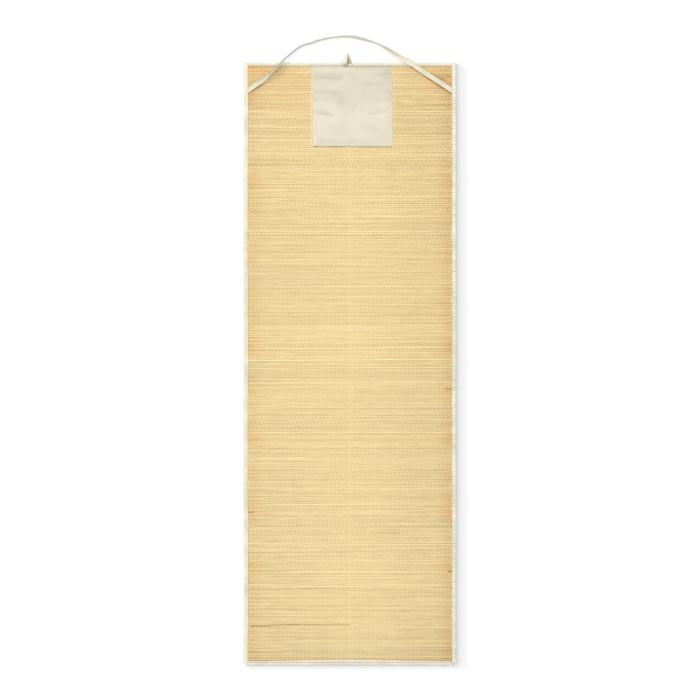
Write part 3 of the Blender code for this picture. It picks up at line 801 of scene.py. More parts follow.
def solid_heights(node, x, y):
    """Underside and top of a solid at each point of two arrays."""
    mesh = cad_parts[node].data
    solid = BVHTree.FromPolygons([v.co for v in mesh.vertices], [p.vertices for p in mesh.polygons])
    up, down = Vector((0, 0, 1)), Vector((0, 0, -1))
    found = np.empty((2, x.size))
    for number, (px, py) in enumerate(zip(x.ravel(), y.ravel())):
        found[0, number] = solid.ray_cast(Vector((px, py, -1)), up)[0].z
        found[1, number] = solid.ray_cast(Vector((px, py, 1)), down)[0].z
    return found.reshape(2, *x.shape)


def thread_places():
    """Threads across the mat: a close pair in the middle, then even ones out to both sides."""
    side = THREAD_PAIR / 2 + THREAD_PITCH * np.arange(THREADS_A_SIDE)
    return np.concatenate([-side[::-1], side])


def straw_rows(rng):
    """Where each straw lies along the mat, its width share, and the number of its shed.

    Straws differ in width, and up to three lie together in one shed, on the same side of each thread.
    """
    count = round((STRAW_HIGH - STRAW_LOW) / STRAW_PITCH)
    widths = np.clip(rng.normal(1, STRAW_PITCH_SPREAD, count), *STRAW_WIDTHS)
    ends = np.cumsum(widths)
    rows = STRAW_LOW + (STRAW_HIGH - STRAW_LOW) * (ends - widths / 2) / ends[-1]
    together = rng.choice(STRAWS_TOGETHER, count, p=STRAWS_TOGETHER_ODDS)
    shed = np.repeat(np.arange(count), together)[:count]
    return rows, widths * count / ends[-1], shed


def row_bend(x, y):
    """How far the rows bend out of line, none at the ends of the mat."""
    bend = 0
    for height, along, across, phase in ROW_BENDS:
        down = np.sin(math.tau * (y / along + ROW_BEND_SHIFT) + phase)
        bend = bend + height * down * np.sin(math.tau * x / across + phase)
    return bend * smooth_step((HALF_LENGTH - np.abs(y) - ROW_BEND_END) / ROW_BEND_FADE)


def spliced(rng, count, places, height):
    """Steps along each straw, where one straw ends and the next is laid in."""
    steps = np.zeros((count, len(places)))
    for line in steps:
        cuts = np.cumsum(rng.exponential(STRAW_SPLICE, STRAW_SPLICES)) + places[0]
        tones = rng.normal(0, height, len(cuts) + 1)
        line[:] = tones[np.searchsorted(cuts, places)]
    return steps


def running_mean(values, count):
    """The mean of each row with its neighbours above and below, count rows in all."""
    padded = np.pad(values, ((count // 2 + 1, count // 2), (0, 0)), mode="edge")
    sums = np.cumsum(padded, axis=0)
    return (sums[count:] - sums[:-count]) / count


def straw_tones_and_painted_shade(rng, x, y, shed):
    """How light each straw is along its length: its own tone, bands and darker sides, with painted
    shade in creases and beside the strap, and painted light beside the tapes and the pocket.
    """
    count = len(shed)
    bands = sum(wander(rng, 1, y[:, 0], knot, height).T for knot, height in TONE_BANDS)
    single = spliced(rng, count, x[0], STRAW_TONE) + spliced(rng, shed[-1] + 1, x[0], SHED_TONE)[shed]
    single = single - running_mean(single, STRAW_TONE_ROWS)
    single = np.minimum(single + wander(rng, count, x[0], *STRAW_TONE_WANDER), STRAW_TONE_MOST)
    neighbours = np.where(np.arange(count) % 2, NEIGHBOUR_TONE, -NEIGHBOUR_TONE)[:, None]
    tone = TONE + bands * from_middle(x, BAND_CONTRAST)
    tone = tone + single * from_middle(x, STRAW_CONTRAST) * (1 - towards_side(x, *CALMER_RIGHT))
    tone = tone + neighbours * from_middle(x, NEIGHBOUR_CONTRAST)
    for darkening in SIDE_DARKENING:
        tone = tone - towards_side(x, *darkening)
    tone = tone + beside(x, *PALE_MIDDLE)
    # Painted light on the straw beside the tapes and the pocket
    tone = tone + beside(np.abs(x) - (HALF_WIDTH - SIDE_TAPE), *PAINTED_LIGHT_AT_SIDE_TAPE)
    tone = tone + beside(np.maximum(0, HALF_LENGTH - TOP_TAPE - y), *PAINTED_LIGHT_AT_TOP_TAPE)
    outside = np.maximum(np.maximum(POCKET_LEFT_AT_TOP - x, x - POCKET_RIGHT_AT_TOP), POCKET_BOTTOM - y)
    tone = tone + beside(outside, *PAINTED_LIGHT_AT_POCKET) * (outside > -PAINTED_LIGHT_UNDER_POCKET)
    # Painted shade in creases, beside the tapes and the pocket, and painted shadow beside the strap
    return np.clip(tone - marks(CREASES_AND_PAINTED_SHADOWS, x, y), TONE_LEAST, 1.0)


def straw_warmth(rng, x, y):
    """How orange the straw is: in patches at the corners and, in places, along both sides."""
    warm = sum(
        amount * np.exp(-(((x - middle_x) / reach_x) ** 2) - (((y - middle_y) / reach_y) ** 2))
        for middle_x, middle_y, reach_x, reach_y, amount in WARM_PATCHES
    )
    uneven = np.clip(WARM_EDGE_MEAN + wander(rng, 1, y[:, 0], *WARM_EDGE_WANDER).T, 0, 1)
    from_side = np.maximum(0, HALF_WIDTH - SIDE_TAPE - np.abs(x))
    return np.clip(warm + uneven * np.exp(-from_side / WARM_EDGE), WARM_LEAST, 1)


def woven_panel():
    """Straws pass over and under the threads in turn, and the threads do the same with them."""
    rng = np.random.default_rng(SEED)
    threads = thread_places()
    rows, widths, shed = straw_rows(rng)
    places = np.concatenate([[-STRAW_REACH], threads, [STRAW_REACH]])
    x, y = np.meshgrid(places, rows)
    y = y + row_bend(x, y)
    x = mat_x(x, y)
    low, high = solid_heights("straw_panel", x, y)
    middle = (low + high) / 2
    scale = (high - low) / PANEL_THICK
    over = np.where((np.arange(len(places))[None] + shed[:, None]) % 2, 1.0, -1.0)
    # Painted shade in the dips beside threads that lie over the straw, deep in some sheds, less painted
    # light on the crests
    strong_dip_shade = STRONG_DIP_SHADE * (rng.uniform(0, 1, len(rows)) < STRONG_DIP_SHADE_SHARE)[shed][:, None]
    dip_shade_and_crest_light = strong_dip_shade * (over < 0) - PAINTED_CREST_LIGHT * from_middle(x, CREST_CONTRAST)
    pieces = straws(rng, x, y, middle, scale, over, dip_shade_and_crest_light, widths[:, None], shed)
    at_threads = [values[:, 1:-1] for values in (x, y, middle, scale, over)]
    return pieces + weaving_threads(rng, *at_threads)


def woven_pieces(name, sections, layers, groups, material, lower=-1):
    """Tubes in groups of neighbours. lower is the number of the section's lowest corner, or -1."""
    corners = np.stack([np.stack(section, -1) for section in sections], axis=2)
    pieces = []
    for number, part in enumerate(np.array_split(np.arange(len(corners)), groups)):
        rings = corners[part]
        points = rings.reshape(-1, 3)
        numbers = {
            layer: np.broadcast_to(values[part][..., None], rings.shape[:3])
            for layer, values in layers.items()
        }
        uv = {"OFBake": plan_uv(points, np.arange(len(points)) % len(sections) == lower)}
        piece_name = f"{name}_{number}"
        pieces.append(tube_piece(piece_name, rings, material, "straw_panel", "straw", numbers, uv))
    return pieces


def straws(rng, x, y, middle, scale, over, dip_shade_and_crest_light, widths, shed):
    """Straws across the mat, each with four long edges, over and under the threads in turn."""
    count = len(y)
    half = STRAW_HALF_WIDTH * widths * (1 + wander(rng, count, x[0], *STRAW_WIDTH_WANDER))
    thick = STRAW_HALF_THICK * scale * (1 + wander(rng, count, x[0], *STRAW_THICK_WANDER))
    shift = wander(rng, count, x[0], *STRAW_WANDER)
    tilt = half * wander(rng, count, x[0], *STRAW_TILT) * scale
    z = middle + over * STRAW_WAVE * scale
    layers = {
        # Own tone, with painted shade and painted light mixed in
        "tone": straw_tones_and_painted_shade(rng, x, y, shed),
        "warm": straw_warmth(rng, x, y),
        # Painted shade in the dips beside the threads, and painted light on the crests
        "under": dip_shade_and_crest_light,
        "crossing": np.broadcast_to(np.arange(x.shape[1]), x.shape),
    }
    y = y + shift
    sections = (
        (x, y - half, z - tilt),
        (x, y - half * STRAW_LOWEST, z - thick),
        (x, y + half, z + tilt),
        (x, y + half * STRAW_HIGHEST, z + thick),
    )
    return woven_pieces("straws", sections, layers, STRAW_GROUPS, straw_material(), lower=1)


def weaving_threads(rng, x, y, middle, scale, over):
    """Threads along the mat, each under the straws that pass over it and over the others."""
    x = x + wander(rng, x.shape[1], y[:, 0], *THREAD_WANDER).T
    z = middle - over * THREAD_WAVE * scale
    radius = THREAD_RADIUS * scale
    foot = z - radius * THREAD_FLATNESS
    points = ((x - radius, y, foot), (x, y, z + radius), (x + radius, y, foot))
    sections = [[values.T for values in point] for point in points]
    return woven_pieces("weaving_threads", sections, {}, THREAD_GROUPS, thread_material())


# Edge tapes


def tape_outline(width, rise, groove):
    """The tape's section from its lower lip round the fold to its upper lip.

    Each point is its distance inward, its height, how far it may pucker, and its painted shade, which
    below nought is painted light.
    """
    half = TAPE_HEIGHT / 2
    round_edge = TAPE_EDGE_ROUND
    points = [(width, TAPE_WALL, 0, 0), (width, round_edge, 0, 0), (width - round_edge, 0, 0, 0)]
    for step in range(TAPE_FOLD_STEPS + 1):
        turn = math.pi * step / TAPE_FOLD_STEPS
        points.append((half * (1 - math.sin(turn)), half * (1 - math.cos(turn)), 0, TAPE_RIM_SHADE))
    top = TAPE_HEIGHT + rise
    stitched, dip, dark = groove
    lip = min(width, stitched + TAPE_LIP) - stitched
    return points + [
        (stitched - GROOVE_START, top, 0.3, 0),
        (stitched - GROOVE_HALF, top - dip, 0.4, dark),
        (stitched + GROOVE_HALF, top - dip, 0.5, dark),
        (stitched + 0.28 * lip, top, 0.7, -TAPE_LIP_LIGHT),
        (width - 0.35 * lip, top - 0.15 * MM, 1.0, -TAPE_LIP_LIGHT),
        (width - 0.3 * MM, TAPE_HEIGHT - 0.55 * MM, 0.8, TAPE_EDGE_SHADE / 2),
        (width, TAPE_HEIGHT - 0.85 * MM, 0.5, TAPE_EDGE_SHADE),
        (width, TAPE_HEIGHT - TAPE_WALL, 0, TAPE_EDGE_SHADE),
    ]


def pucker_shades(rng, count, depth):
    """Painted shade at each station of a tape: shade in each pucker and painted light just before it.
    """
    puckers = round(count * TAPE_STEP / PUCKER_PITCH)
    starts = np.cumsum(rng.normal(PUCKER_PITCH / TAPE_STEP, 1.0, puckers))
    starts = np.clip(np.round(starts), 0, count - 1).astype(int)
    depths = rng.uniform(0.0, 1.0, puckers) * depth
    shades = np.zeros(count)
    shades[starts] = depths
    shades[starts - 1] -= PUCKER_RIM * depths
    return shades


def folded_tape(side, stations, place, material, rng, pucker, groove, tint):
    """A tape over stations of place along it, width, slot share, inset and rise.

    Slot share is 0 where the slot that takes the mat's edge has ended.
    """
    loose_height, depth = pucker
    count = len(stations)
    ripple = rng.normal(0, loose_height, count)
    ragged = rng.normal(0, TAPE_RAGGED, count)
    puckers = pucker_shades(rng, count, depth)
    rings, shades = [], []
    for number, (along, width, slot, inset, rise) in enumerate(stations):
        wave = loose_height * math.sin(math.tau * along / PUCKER_PITCH) + ripple[number]
        ring, shade = [], []
        for inward, height, loose, dark in tape_outline(width, rise, groove):
            inward = inset + inward * (width - inset) / width + ragged[number] * (loose > 0.5)
            ring.append(place(along, inward, height + loose * wave))
            shade.append(dark + puckers[number] + tint(along))
        back = width + (TAPE_SPINE - width) * slot - TAPE_GAP
        ring += [place(along, back, height) for height in (TAPE_HEIGHT - TAPE_WALL, TAPE_WALL)]
        rings.append(ring)
        shades.append(shade + [0.0, 0.0])
    rings = np.array(rings)[None]
    around = np.arange(1, rings.shape[2] + 1) * TAPE_CORNER_STEP
    uv = cloth_layout([along for along, *_ in stations], around)
    layers = {"shade": np.array(shades)}
    name, node = f"tape_{side}", f"binding_{side}"
    return tube_piece(name, rings, material, node, "binding_tape", layers, uv, sharp=60)


def even_stations(start, end, width_at):
    count = round(abs(end - start) / TAPE_STEP)
    return [(along, width_at(along), 1.0, 0.0, 0.0) for along in np.linspace(start, end, count + 1)]


def rounded_end(along, direction):
    """Stations that close a side tape's end, its outer corner rounded in plan."""
    stations = [(along + direction * (TAPE_END - TAPE_CORNER_ROUND), SIDE_TAPE, 0.0, 0.0, 0.0)]
    for share in TAPE_CORNER_SHARES:
        inset = TAPE_CORNER_ROUND * (1 - math.sqrt(1 - (share * TAPE_CORNER_TURN) ** 2))
        reach = TAPE_END - TAPE_CORNER_ROUND * (1 - share)
        stations.append((along + direction * reach, SIDE_TAPE, 0.0, inset, 0.0))
    return stations


def raised_end(along):
    """Stations of the right tape's lower end, folded under and so a little thicker."""
    rows = ((0.0, 0.3 * MM, 0.5), (0.15, 0.0, 1.0), (0.55, 0.0, 1.0), (0.8, 0.0, 0.0))
    return [
        (along + share * TAPE_END, SIDE_TAPE, 0.0, inset, rise * RIGHT_TAPE_FOLD_RISE)
        for share, inset, rise in rows
    ]


def tongue_end(shut, reach):
    """Stations of the bottom tape's right end, a narrow tongue below the right tape's end."""
    tip = HALF_WIDTH - SIDE_TAPE + BOTTOM_TONGUE
    rows = ((reach, 0.0), (tip - 1.6 * MM, 0.2 * MM), (tip - 0.5 * MM, 1.2 * MM), (tip, 2.8 * MM))
    narrow = [(along, BOTTOM_TONGUE_WIDTH, 0.0, inset, 0.0) for along, inset in rows]
    return [(shut + 0.3 * MM, bottom_tape_width(shut), 0.0, 0.0, 0.0)] + narrow


def side_place(side):
    """Turns a side tape's own places into places on the mat. side is -1 on the left, 1 on the right."""

    def place(along, inward, height):
        return mat_x(side * (HALF_WIDTH - inward), along), along, height

    return place


def end_place(side):
    """The same for an end tape. side is -1 at the bottom, 1 at the top."""

    def place(along, inward, height):
        return mat_x(along, side * HALF_LENGTH), side * (HALF_LENGTH - inward), height

    return place


def bottom_tape_width(x):
    return BOTTOM_TAPE + BOTTOM_TAPE_SWELL * smooth_step(1 - abs(x) / HALF_WIDTH)


def edge_tapes(material, thread):
    """The four tapes, and the line of stitches of each."""
    rng = np.random.default_rng(SEED + 1)
    high = HALF_LENGTH - TAPE_END
    stop = RIGHT_TAPE_SHORT - HALF_LENGTH
    reach = HALF_WIDTH - SIDE_TAPE - CLEAR
    shut = reach - TAPE_END

    # Painted light on the right tape's folded lower end
    def bright_end(along):
        return -TAPE_END_LIGHT * (along < stop + TAPE_END)

    # Darker bottom tape, with painted shade at its tongue
    def dark_end(along):
        tongue = smooth_step((along - HALF_WIDTH + SIDE_TAPE) / BOTTOM_TONGUE)
        return BOTTOM_TAPE_SHADE + TAPE_TONGUE_SHADE * tongue

    far_end = rounded_end(high, 1)
    left = rounded_end(-high, -1)[::-1] + even_stations(-high, high, lambda along: SIDE_TAPE) + far_end
    right = raised_end(stop) + even_stations(stop + TAPE_END, high, lambda along: SIDE_TAPE) + far_end
    top = even_stations(-reach, reach, lambda along: TOP_TAPE)
    bottom = even_stations(-reach, shut, bottom_tape_width) + tongue_end(shut, reach)
    rows = (
        ("left", left, -high, high, side_place(-1), LEFT_PUCKER, SIDE_GROOVE, lambda along: 0.0),
        ("right", right, stop + TAPE_END, high, side_place(1), RIGHT_PUCKER, SIDE_GROOVE, bright_end),
        ("top", top, -reach, reach, end_place(1), TOP_PUCKER, TOP_GROOVE, lambda along: TOP_TAPE_SHADE),
        ("bottom", bottom, -reach, shut, end_place(-1), BOTTOM_PUCKER, BOTTOM_GROOVE, dark_end),
    )
    pieces = [
        folded_tape(side, stations, place, material, rng, pucker, groove, tint)
        for side, stations, _, _, place, pucker, groove, tint in rows
    ]
    seams = [
        tape_seam(side, start, end, place, thread, groove)
        for side, _, start, end, place, _, groove, _ in rows
    ]
    return pieces, seams


def tape_seam(side, start, end, place, thread, groove):
    """One line of stitches in the tape's stitched groove."""
    count = int((end - start) / STITCH_PITCH)
    spots = np.linspace(start + STITCH_PITCH, end - STITCH_PITCH, count)
    stitched, dip, _ = groove
    height = TAPE_HEIGHT - dip + TAPE_STITCH_LIFT
    centres = np.array([place(spot, stitched, height) for spot in spots])
    ahead = np.array([place(spot + MM, stitched, height) for spot in spots])
    return stitch_piece(f"seam_{side}", centres, unit(ahead - centres), UP, thread, "binding_tape")


# Patch pocket


def pocket_x(across, y):
    """x on the pocket, whose sides lean a little. across is 0 at its left side and 1 at its right."""
    down = (POCKET_TOP - y) / (POCKET_TOP - POCKET_BOTTOM)
    left = POCKET_LEFT_AT_TOP + (POCKET_LEFT_AT_BOTTOM - POCKET_LEFT_AT_TOP) * down
    right = POCKET_RIGHT_AT_TOP + (POCKET_RIGHT_AT_BOTTOM - POCKET_RIGHT_AT_TOP) * down
    return left + (right - left) * across


def sewn_distance(across, y):
    """How far a point of the pocket is from its sewn sides and bottom."""
    return np.minimum(np.minimum(across, 1 - across) * POCKET_WIDTH, y - POCKET_BOTTOM)


def pocket_heights(across, y):
    """Underside and top of the pocket's cloth: sewn flat round its sides, puffed and creased inside."""
    sewn = sewn_distance(across, y)
    puff = np.maximum(0, POCKET_PUFF + marks(POCKET_FOLDS, pocket_x(across, y), y))
    puff = puff * smooth_step(np.minimum(sewn, POCKET_TOP - y) / POCKET_PUFF_RIM)
    eased = smooth_step(sewn / POCKET_EASE)
    low = PANEL_THICK + CLEAR + puff - POCKET_TUCK * (1 - eased)
    hem = 1 - smooth_step((sewn - POCKET_HEM) / POCKET_HEM_STEP)
    mouth = 1 - smooth_step((POCKET_TOP - y - POCKET_MOUTH_HEM) / POCKET_HEM_STEP)
    full = POCKET_CLOTH + POCKET_HEM_EXTRA * np.maximum(hem, mouth)
    return low, low + POCKET_RIM + (full - POCKET_RIM) * eased


def pocket_shades(across, y):
    """How dark the cloth is: painted shade in its folds and along its mouth, a darker upper half, and
    painted light on its sewn rim.
    """
    upper = smooth_step((y - POCKET_UPPER_START) / (POCKET_UPPER_END - POCKET_UPPER_START))
    rim = beside(sewn_distance(across, y), POCKET_RIM_LIGHT, POCKET_EASE)
    return marks(POCKET_PAINTED_SHADES, pocket_x(across, y), y) + POCKET_UPPER_SHADE * upper - rim


def with_rims(start, end, count, inset):
    """Even places from start to end, and one more just inside each end, so that edges stay crisp."""
    inner = np.linspace(start, end, count)[1:-1]
    return np.concatenate([[start, start + inset], inner, [end - inset, end]])


def grid_rim(number):
    """The numbers round the edge of a grid of point numbers, in order."""
    return np.concatenate([number[0, :-1], number[:-1, -1], number[-1, :0:-1], number[:0:-1, 0]])


def grid_quads(number):
    quads = [number[:-1, :-1], number[:-1, 1:], number[1:, 1:], number[1:, :-1]]
    return np.stack(quads, -1).reshape(-1, 4)


def patch_pocket(material, thread):
    """The cloth's upper side on a fine grid, and its hidden underside on a coarser one."""
    columns = round(POCKET_WIDTH / POCKET_GRID) + 1
    rows = round((POCKET_TOP - POCKET_BOTTOM) / POCKET_GRID) + 1
    across, y = np.meshgrid(
        with_rims(0, 1, columns, POCKET_EDGE / POCKET_WIDTH),
        with_rims(POCKET_BOTTOM, POCKET_TOP, rows, POCKET_EDGE),
    )
    x = pocket_x(across, y)
    low, high = pocket_heights(across, y)
    shades = pocket_shades(across, y)
    step = POCKET_UNDER_STEP
    x_under, y_under, low_under = [values[::step, ::step] for values in (x, y, low)]
    upper = np.arange(x.size).reshape(x.shape)
    lower = x.size + np.arange(x_under.size).reshape(x_under.shape)
    rim, lower_rim = grid_rim(upper), grid_rim(lower)
    between = [rim[number::step] for number in range(step - 1, 0, -1)]
    corners = [rim[::step], lower_rim, np.roll(lower_rim, -1), np.roll(rim, -step)[::step], *between]
    walls = np.stack(corners, -1)
    faces = grid_quads(upper).tolist() + grid_quads(lower)[:, ::-1].tolist() + walls.tolist()
    points = np.concatenate(
        [
            np.stack([x, y, high], -1).reshape(-1, 3),
            np.stack([x_under, y_under, low_under], -1).reshape(-1, 3),
        ]
    )
    # Painted light on the pocket's walls and underside
    lower_shades = shades[::step, ::step] - POCKET_WALL_LIGHT
    layers = {"shade": np.concatenate([shades.ravel(), lower_shades.ravel()])}
    uv = {"cloth": points[:, :2]}
    pocket = mesh_piece("pocket", points, faces, material, "patch_pocket", "pocket_cloth", layers, uv)
    return pocket, pocket_seams(thread)


def pocket_seams(thread):
    """Two lines of stitches round the sides and bottom, and one along the mouth's hem."""
    pitch = STITCH_PITCH / POCKET_WIDTH
    stitches = []
    for inset in POCKET_SEAM_INSETS:
        share = inset / POCKET_WIDTH
        heights = np.arange(POCKET_BOTTOM + inset, POCKET_TOP - 2 * MM, STITCH_PITCH)
        stitches += [(side, y, 0, 1) for side in (share, 1 - share) for y in heights]
        stitches += [(spot, POCKET_BOTTOM + inset, 1, 0) for spot in np.arange(share, 1 - share, pitch)]
    mouth = np.arange(*POCKET_MOUTH_SPAN, pitch)
    stitches += [(spot, POCKET_TOP - POCKET_MOUTH_SEAM, 1, 0) for spot in mouth]
    across, y, along_x, along_y = np.array(stitches, float).T
    _, high = pocket_heights(across, y)
    points = np.stack([pocket_x(across, y), y, high + POCKET_STITCH_LIFT], -1)
    alongs = np.stack([along_x, along_y, np.zeros(len(stitches))], -1)
    return stitch_piece("pocket_seams", points, alongs, UP, thread, "pocket_cloth")


# Carry strap and closing loop


def curve_rows(route, step):
    """Rows about a step apart on a smooth curve through the route's rows. All columns are smoothed."""
    rows = []
    route = np.array(route, float)
    padded = [route[0], *route, route[-1]]
    for a, b, c, d in zip(padded, padded[1:], padded[2:], padded[3:]):
        span = np.linalg.norm(c[:2] - b[:2]) + abs(c[2] - b[2])
        count = max(1, round(span / step))
        for share in np.arange(count) / count:
            square = (2 * a - 5 * b + 4 * c - d) * share**2
            cube = (3 * b - a - 3 * c + d) * share**3
            rows.append((2 * b + (c - a) * share + square + cube) / 2)
    return np.array([*rows, route[-1]])


def ribbon_outline(width, thick):
    """A woven tape's section, across and through, with eased edges and a sewn line down its middle."""
    half, depth = width / 2, thick / 2
    ease = RIBBON_EASE
    right = [
        (half - ease, -depth),
        (half, -depth + ease),
        (half, depth - ease),
        (half - ease, depth),
        (RIBBON_GROOVE_HALF, depth),
    ]
    left = [(-across, through) for across, through in right[::-1]]
    return np.array([*right, (0.0, depth - RIBBON_GROOVE), *left])


def ribbon(name, centres, sides, normals, widths, thick, shades, material, node, slot):
    """A woven tape along centres. sides point across it, and normals out of its upper face."""
    outlines = np.array([ribbon_outline(width, thick) for width in widths])
    rings = centres[:, None] + outlines[..., :1] * sides[:, None] + outlines[..., 1:] * normals[:, None]
    layers = {"shade": np.broadcast_to(shades, rings.shape[:2])}
    uv = cloth_layout(travelled(centres), ribbon_outline(np.mean(widths), thick)[:, 0])
    return tube_piece(name, rings[None], material, node, slot, layers, uv, sharp=50)


def ribbon_seam(name, centres, alongs, normals, thick, thread, slot):
    """Stitches down the middle of a ribbon's upper face."""
    far = travelled(centres)
    spots = np.arange(STITCH_PITCH, far[-1] - STITCH_PITCH, STITCH_PITCH)

    def read(values):
        return np.stack([np.interp(spots, far, column) for column in values.T], -1)

    normal = unit(read(normals))
    points = read(centres) + normal * (thick / 2 - RIBBON_STITCH_SINK)
    return stitch_piece(name, points, unit(read(alongs)), normal, thread, slot)


def strap_frames():
    """Flat on the mat at both roots, and on its outer edge round the arch with its inner edge up."""
    rows = curve_rows(STRAP_ROUTE, STRAP_STEP)
    flat = np.zeros(len(rows))
    plan = np.stack([mat_x(rows[:, 0], rows[:, 1]), rows[:, 1], flat], -1)
    heading = unit(np.gradient(plan, axis=0))
    far = travelled(plan)
    skew = STRAP_ROOT_SKEW * np.maximum(0, 1 - np.minimum(far, far[-1] - far) / STRAP_SKEW_LENGTH)
    toward = np.where(far < far[-1] / 2, 1, -1)
    inward = np.stack([heading[:, 1], -heading[:, 0], flat], -1)
    inward = inward - heading * (toward * np.tan(skew))[:, None]
    widths = STRAP_WIDTH * np.linalg.norm(inward, axis=1)
    inward = unit(inward)
    lean = np.radians(rows[:, 3:4])
    sides = inward * np.cos(lean) + UP * np.sin(lean)
    normals = UP * np.cos(lean) - inward * np.sin(lean)
    height = rows[:, 2:3] + widths[:, None] / 2 * np.sin(lean) + STRAP_THICK / 2 * np.cos(lean)
    # Painted shade on the raised inner edge where the strap leans
    first_lean, more_lean = STRAP_EDGE_LEANS
    outer = np.arange(len(ribbon_outline(STRAP_WIDTH, STRAP_THICK))) < STRAP_EDGE_CORNERS
    edge = STRAP_EDGE_SHADE * smooth_step((rows[:, 3:4] - first_lean) / more_lean) * outer
    return plan + UP * height, sides, normals, widths, rows[:, 4:5] + edge


def carry_strap(material, thread):
    centres, sides, normals, widths, shades = strap_frames()
    alongs = unit(np.gradient(centres, axis=0))
    thick, node, slot = STRAP_THICK, "carry_strap", "strap_tape"
    strap = ribbon("strap", centres, sides, normals, widths, thick, shades, material, node, slot)
    return strap, ribbon_seam("strap_seam", centres, alongs, normals, thick, thread, slot)


def loop_shades(place):
    """The painted shade on the loop at places from 0, its right root, to 1, its left root."""
    under, under_start, under_reach = LOOP_UNDER_SHADE
    end, end_start, end_reach = LOOP_END_SHADE
    tip, tip_place, tip_reach = LOOP_TIP_SHADE
    shades = under * (1 - smooth_step((place - under_start) / under_reach))
    shades = shades * smooth_step(place / LOOP_ROOT)
    shades = shades + end * smooth_step((place - end_start) / end_reach)
    return shades + beside(place - tip_place, tip, tip_reach)


def closing_loop(material, thread):
    rows = curve_rows(LOOP_ROUTE, LOOP_STEP)
    centres = rows[:, :3]
    forward = unit(np.gradient(centres, axis=0))
    turn = np.radians(rows[:, 3])
    side = np.stack([np.cos(turn), np.sin(turn), np.zeros(len(rows))], -1)
    side = unit(side - forward * np.sum(side * forward, axis=1, keepdims=True))
    normals = np.cross(side, forward)
    widths = LOOP_WIDTH * rows[:, 4]
    shades = loop_shades(np.linspace(0, 1, len(rows)))[:, None]
    thick, node, slot = LOOP_THICK, "closing_loop", "loop_tape"
    loop = ribbon("loop", centres, side, normals, widths, thick, shades, material, node, slot)
    return loop, ribbon_seam("loop_seam", centres, forward, normals, thick, thread, slot)


# Stage


def floor():
    mesh = bpy.data.meshes.new("floor")
    corners = [(-1, -1), (1, -1), (1, 1), (-1, 1)]
    mesh.from_pydata([(x * FLOOR_HALF, y * FLOOR_HALF, 0) for x, y in corners], [], [(0, 1, 2, 3)])
    mesh.materials.append(floor_material())
    plane = add_object("floor", mesh)
    plane.location.z = -FLOOR_DROP


def camera():
    data = bpy.data.cameras.new("camera")
    data.lens = LENS
    data.sensor_width = SENSOR
    view = add_object("camera", data)
    view.location = (0.0, PICTURE_MIDDLE_Y, PICTURE_SPAN * LENS / SENSOR)
    bpy.context.scene.camera = view


def light_group(name, pieces):
    """The pieces that a lamp lights, or that shade others from it."""
    group = bpy.data.collections.new(name)
    for piece in pieces:
        group.objects.link(piece)
    return group


def lamp(name, kind, power, lit, shaders=None):
    """A lamp that lights only the pieces in lit. All pieces shade them from it, or shaders alone."""
    data = bpy.data.lights.new(name, kind)
    data.energy = power
    thing = add_object(name, data)
    thing.light_linking.receiver_collection = light_group(f"lit_by_{name}", lit)
    if shaders:
        thing.light_linking.blocker_collection = light_group(f"shaded_from_{name}", shaders)
    return thing


def aim(thing, direction):
    thing.rotation_euler = Vector(direction).to_track_quat("-Z", "Y").to_euler()


def soft_lamp(name, place, power, lit, shaders=None):
    """A square lamp that faces the middle of the mat."""
    square = lamp(name, "AREA", power, lit, shaders)
    square.data.shape = "SQUARE"
    square.data.size = LAMP_SIZE
    square.location = place
    aim(square, -Vector(place))


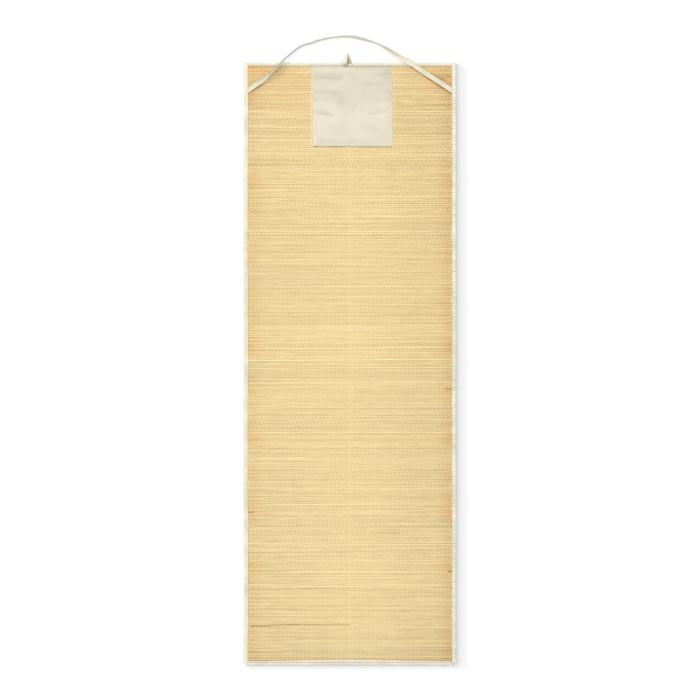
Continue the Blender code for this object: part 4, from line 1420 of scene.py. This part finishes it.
def lights():
    world = bpy.data.worlds.new("sky")
    world.use_nodes = True
    sky = world.node_tree.nodes["Background"]
    sky.inputs["Color"].default_value = (1.0, 1.0, 1.0, 1.0)
    sky.inputs["Strength"].default_value = SKY_STRENGTH
    bpy.context.scene.world = world
    ground = [bpy.data.objects["floor"]]
    mat = [piece for piece in bpy.data.objects if piece.type == "MESH" and piece.name != "floor"]
    strap_pieces = [strap, strap_seam]
    all_but_strap = [piece for piece in mat if piece not in strap_pieces]
    soft_lamp("key", KEY_PLACE, KEY_POWER * STRAP_SHADOW, all_but_strap, mat)
    soft_lamp("fill", KEY_PLACE, KEY_POWER * (1 - STRAP_SHADOW), all_but_strap, all_but_strap)
    soft_lamp("strap_key", STRAP_KEY_PLACE, STRAP_KEY_POWER, strap_pieces)
    arch = lamp("arch", "SPOT", ARCH_POWER, ground, ground)
    arch.location = ARCH_PLACE
    arch.data.spot_size = ARCH_CONE
    arch.data.spot_blend = 1.0
    arch.data.shadow_soft_size = ARCH_SOFTNESS
    for name, height, spread, strength in LOW_LIGHTS:
        low = lamp(name, "SUN", strength, ground, [*panel_pieces, *tapes, pocket])
        low.data.angle = math.radians(spread)
        aim(low, (*LOW_HEADING, -math.tan(math.radians(height))))


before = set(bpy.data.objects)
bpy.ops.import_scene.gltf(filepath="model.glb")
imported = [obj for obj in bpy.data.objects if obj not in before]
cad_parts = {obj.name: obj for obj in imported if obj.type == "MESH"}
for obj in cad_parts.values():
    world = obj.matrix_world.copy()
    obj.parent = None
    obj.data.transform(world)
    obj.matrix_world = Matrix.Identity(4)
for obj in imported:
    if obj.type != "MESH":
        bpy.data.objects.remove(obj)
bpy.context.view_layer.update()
bpy.context.scene.view_settings.view_transform = "Standard"

sewing_thread = stitch_material("sewing_thread", STITCH_COLOUR)
panel_pieces = woven_panel()
tape_cloth = cloth_material("binding_tape", TAPE_COLOUR, TAPE_SHADE, TAPE_RIBS)
tapes, tape_seams = edge_tapes(tape_cloth, sewing_thread)
pocket_cloth = cloth_material("pocket_cloth", POCKET_COLOUR, POCKET_SHADE, POCKET_RIBS)
pocket_thread = stitch_material("pocket_thread", POCKET_STITCH_COLOUR)
pocket, pocket_seam = patch_pocket(pocket_cloth, pocket_thread)
strap_cloth = cloth_material("strap_tape", STRAP_COLOUR, STRAP_SHADE, RIBBON_RIBS, STRAP_GREYING)
strap, strap_seam = carry_strap(strap_cloth, sewing_thread)
loop_cloth = cloth_material("loop_tape", LOOP_COLOUR, LOOP_SHADE, RIBBON_RIBS, LOOP_GREYING)
loop, loop_seam = closing_loop(loop_cloth, sewing_thread)

for piece in panel_pieces[:STRAW_GROUPS]:
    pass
tape_flats = (LEFT_TAPE_FLAT, RIGHT_TAPE_FLAT, TOP_TAPE_FLAT, BOTTOM_TAPE_FLAT)
for piece, seam, flat_size in zip(tapes, tape_seams, tape_flats):
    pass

floor()
camera()
lights()
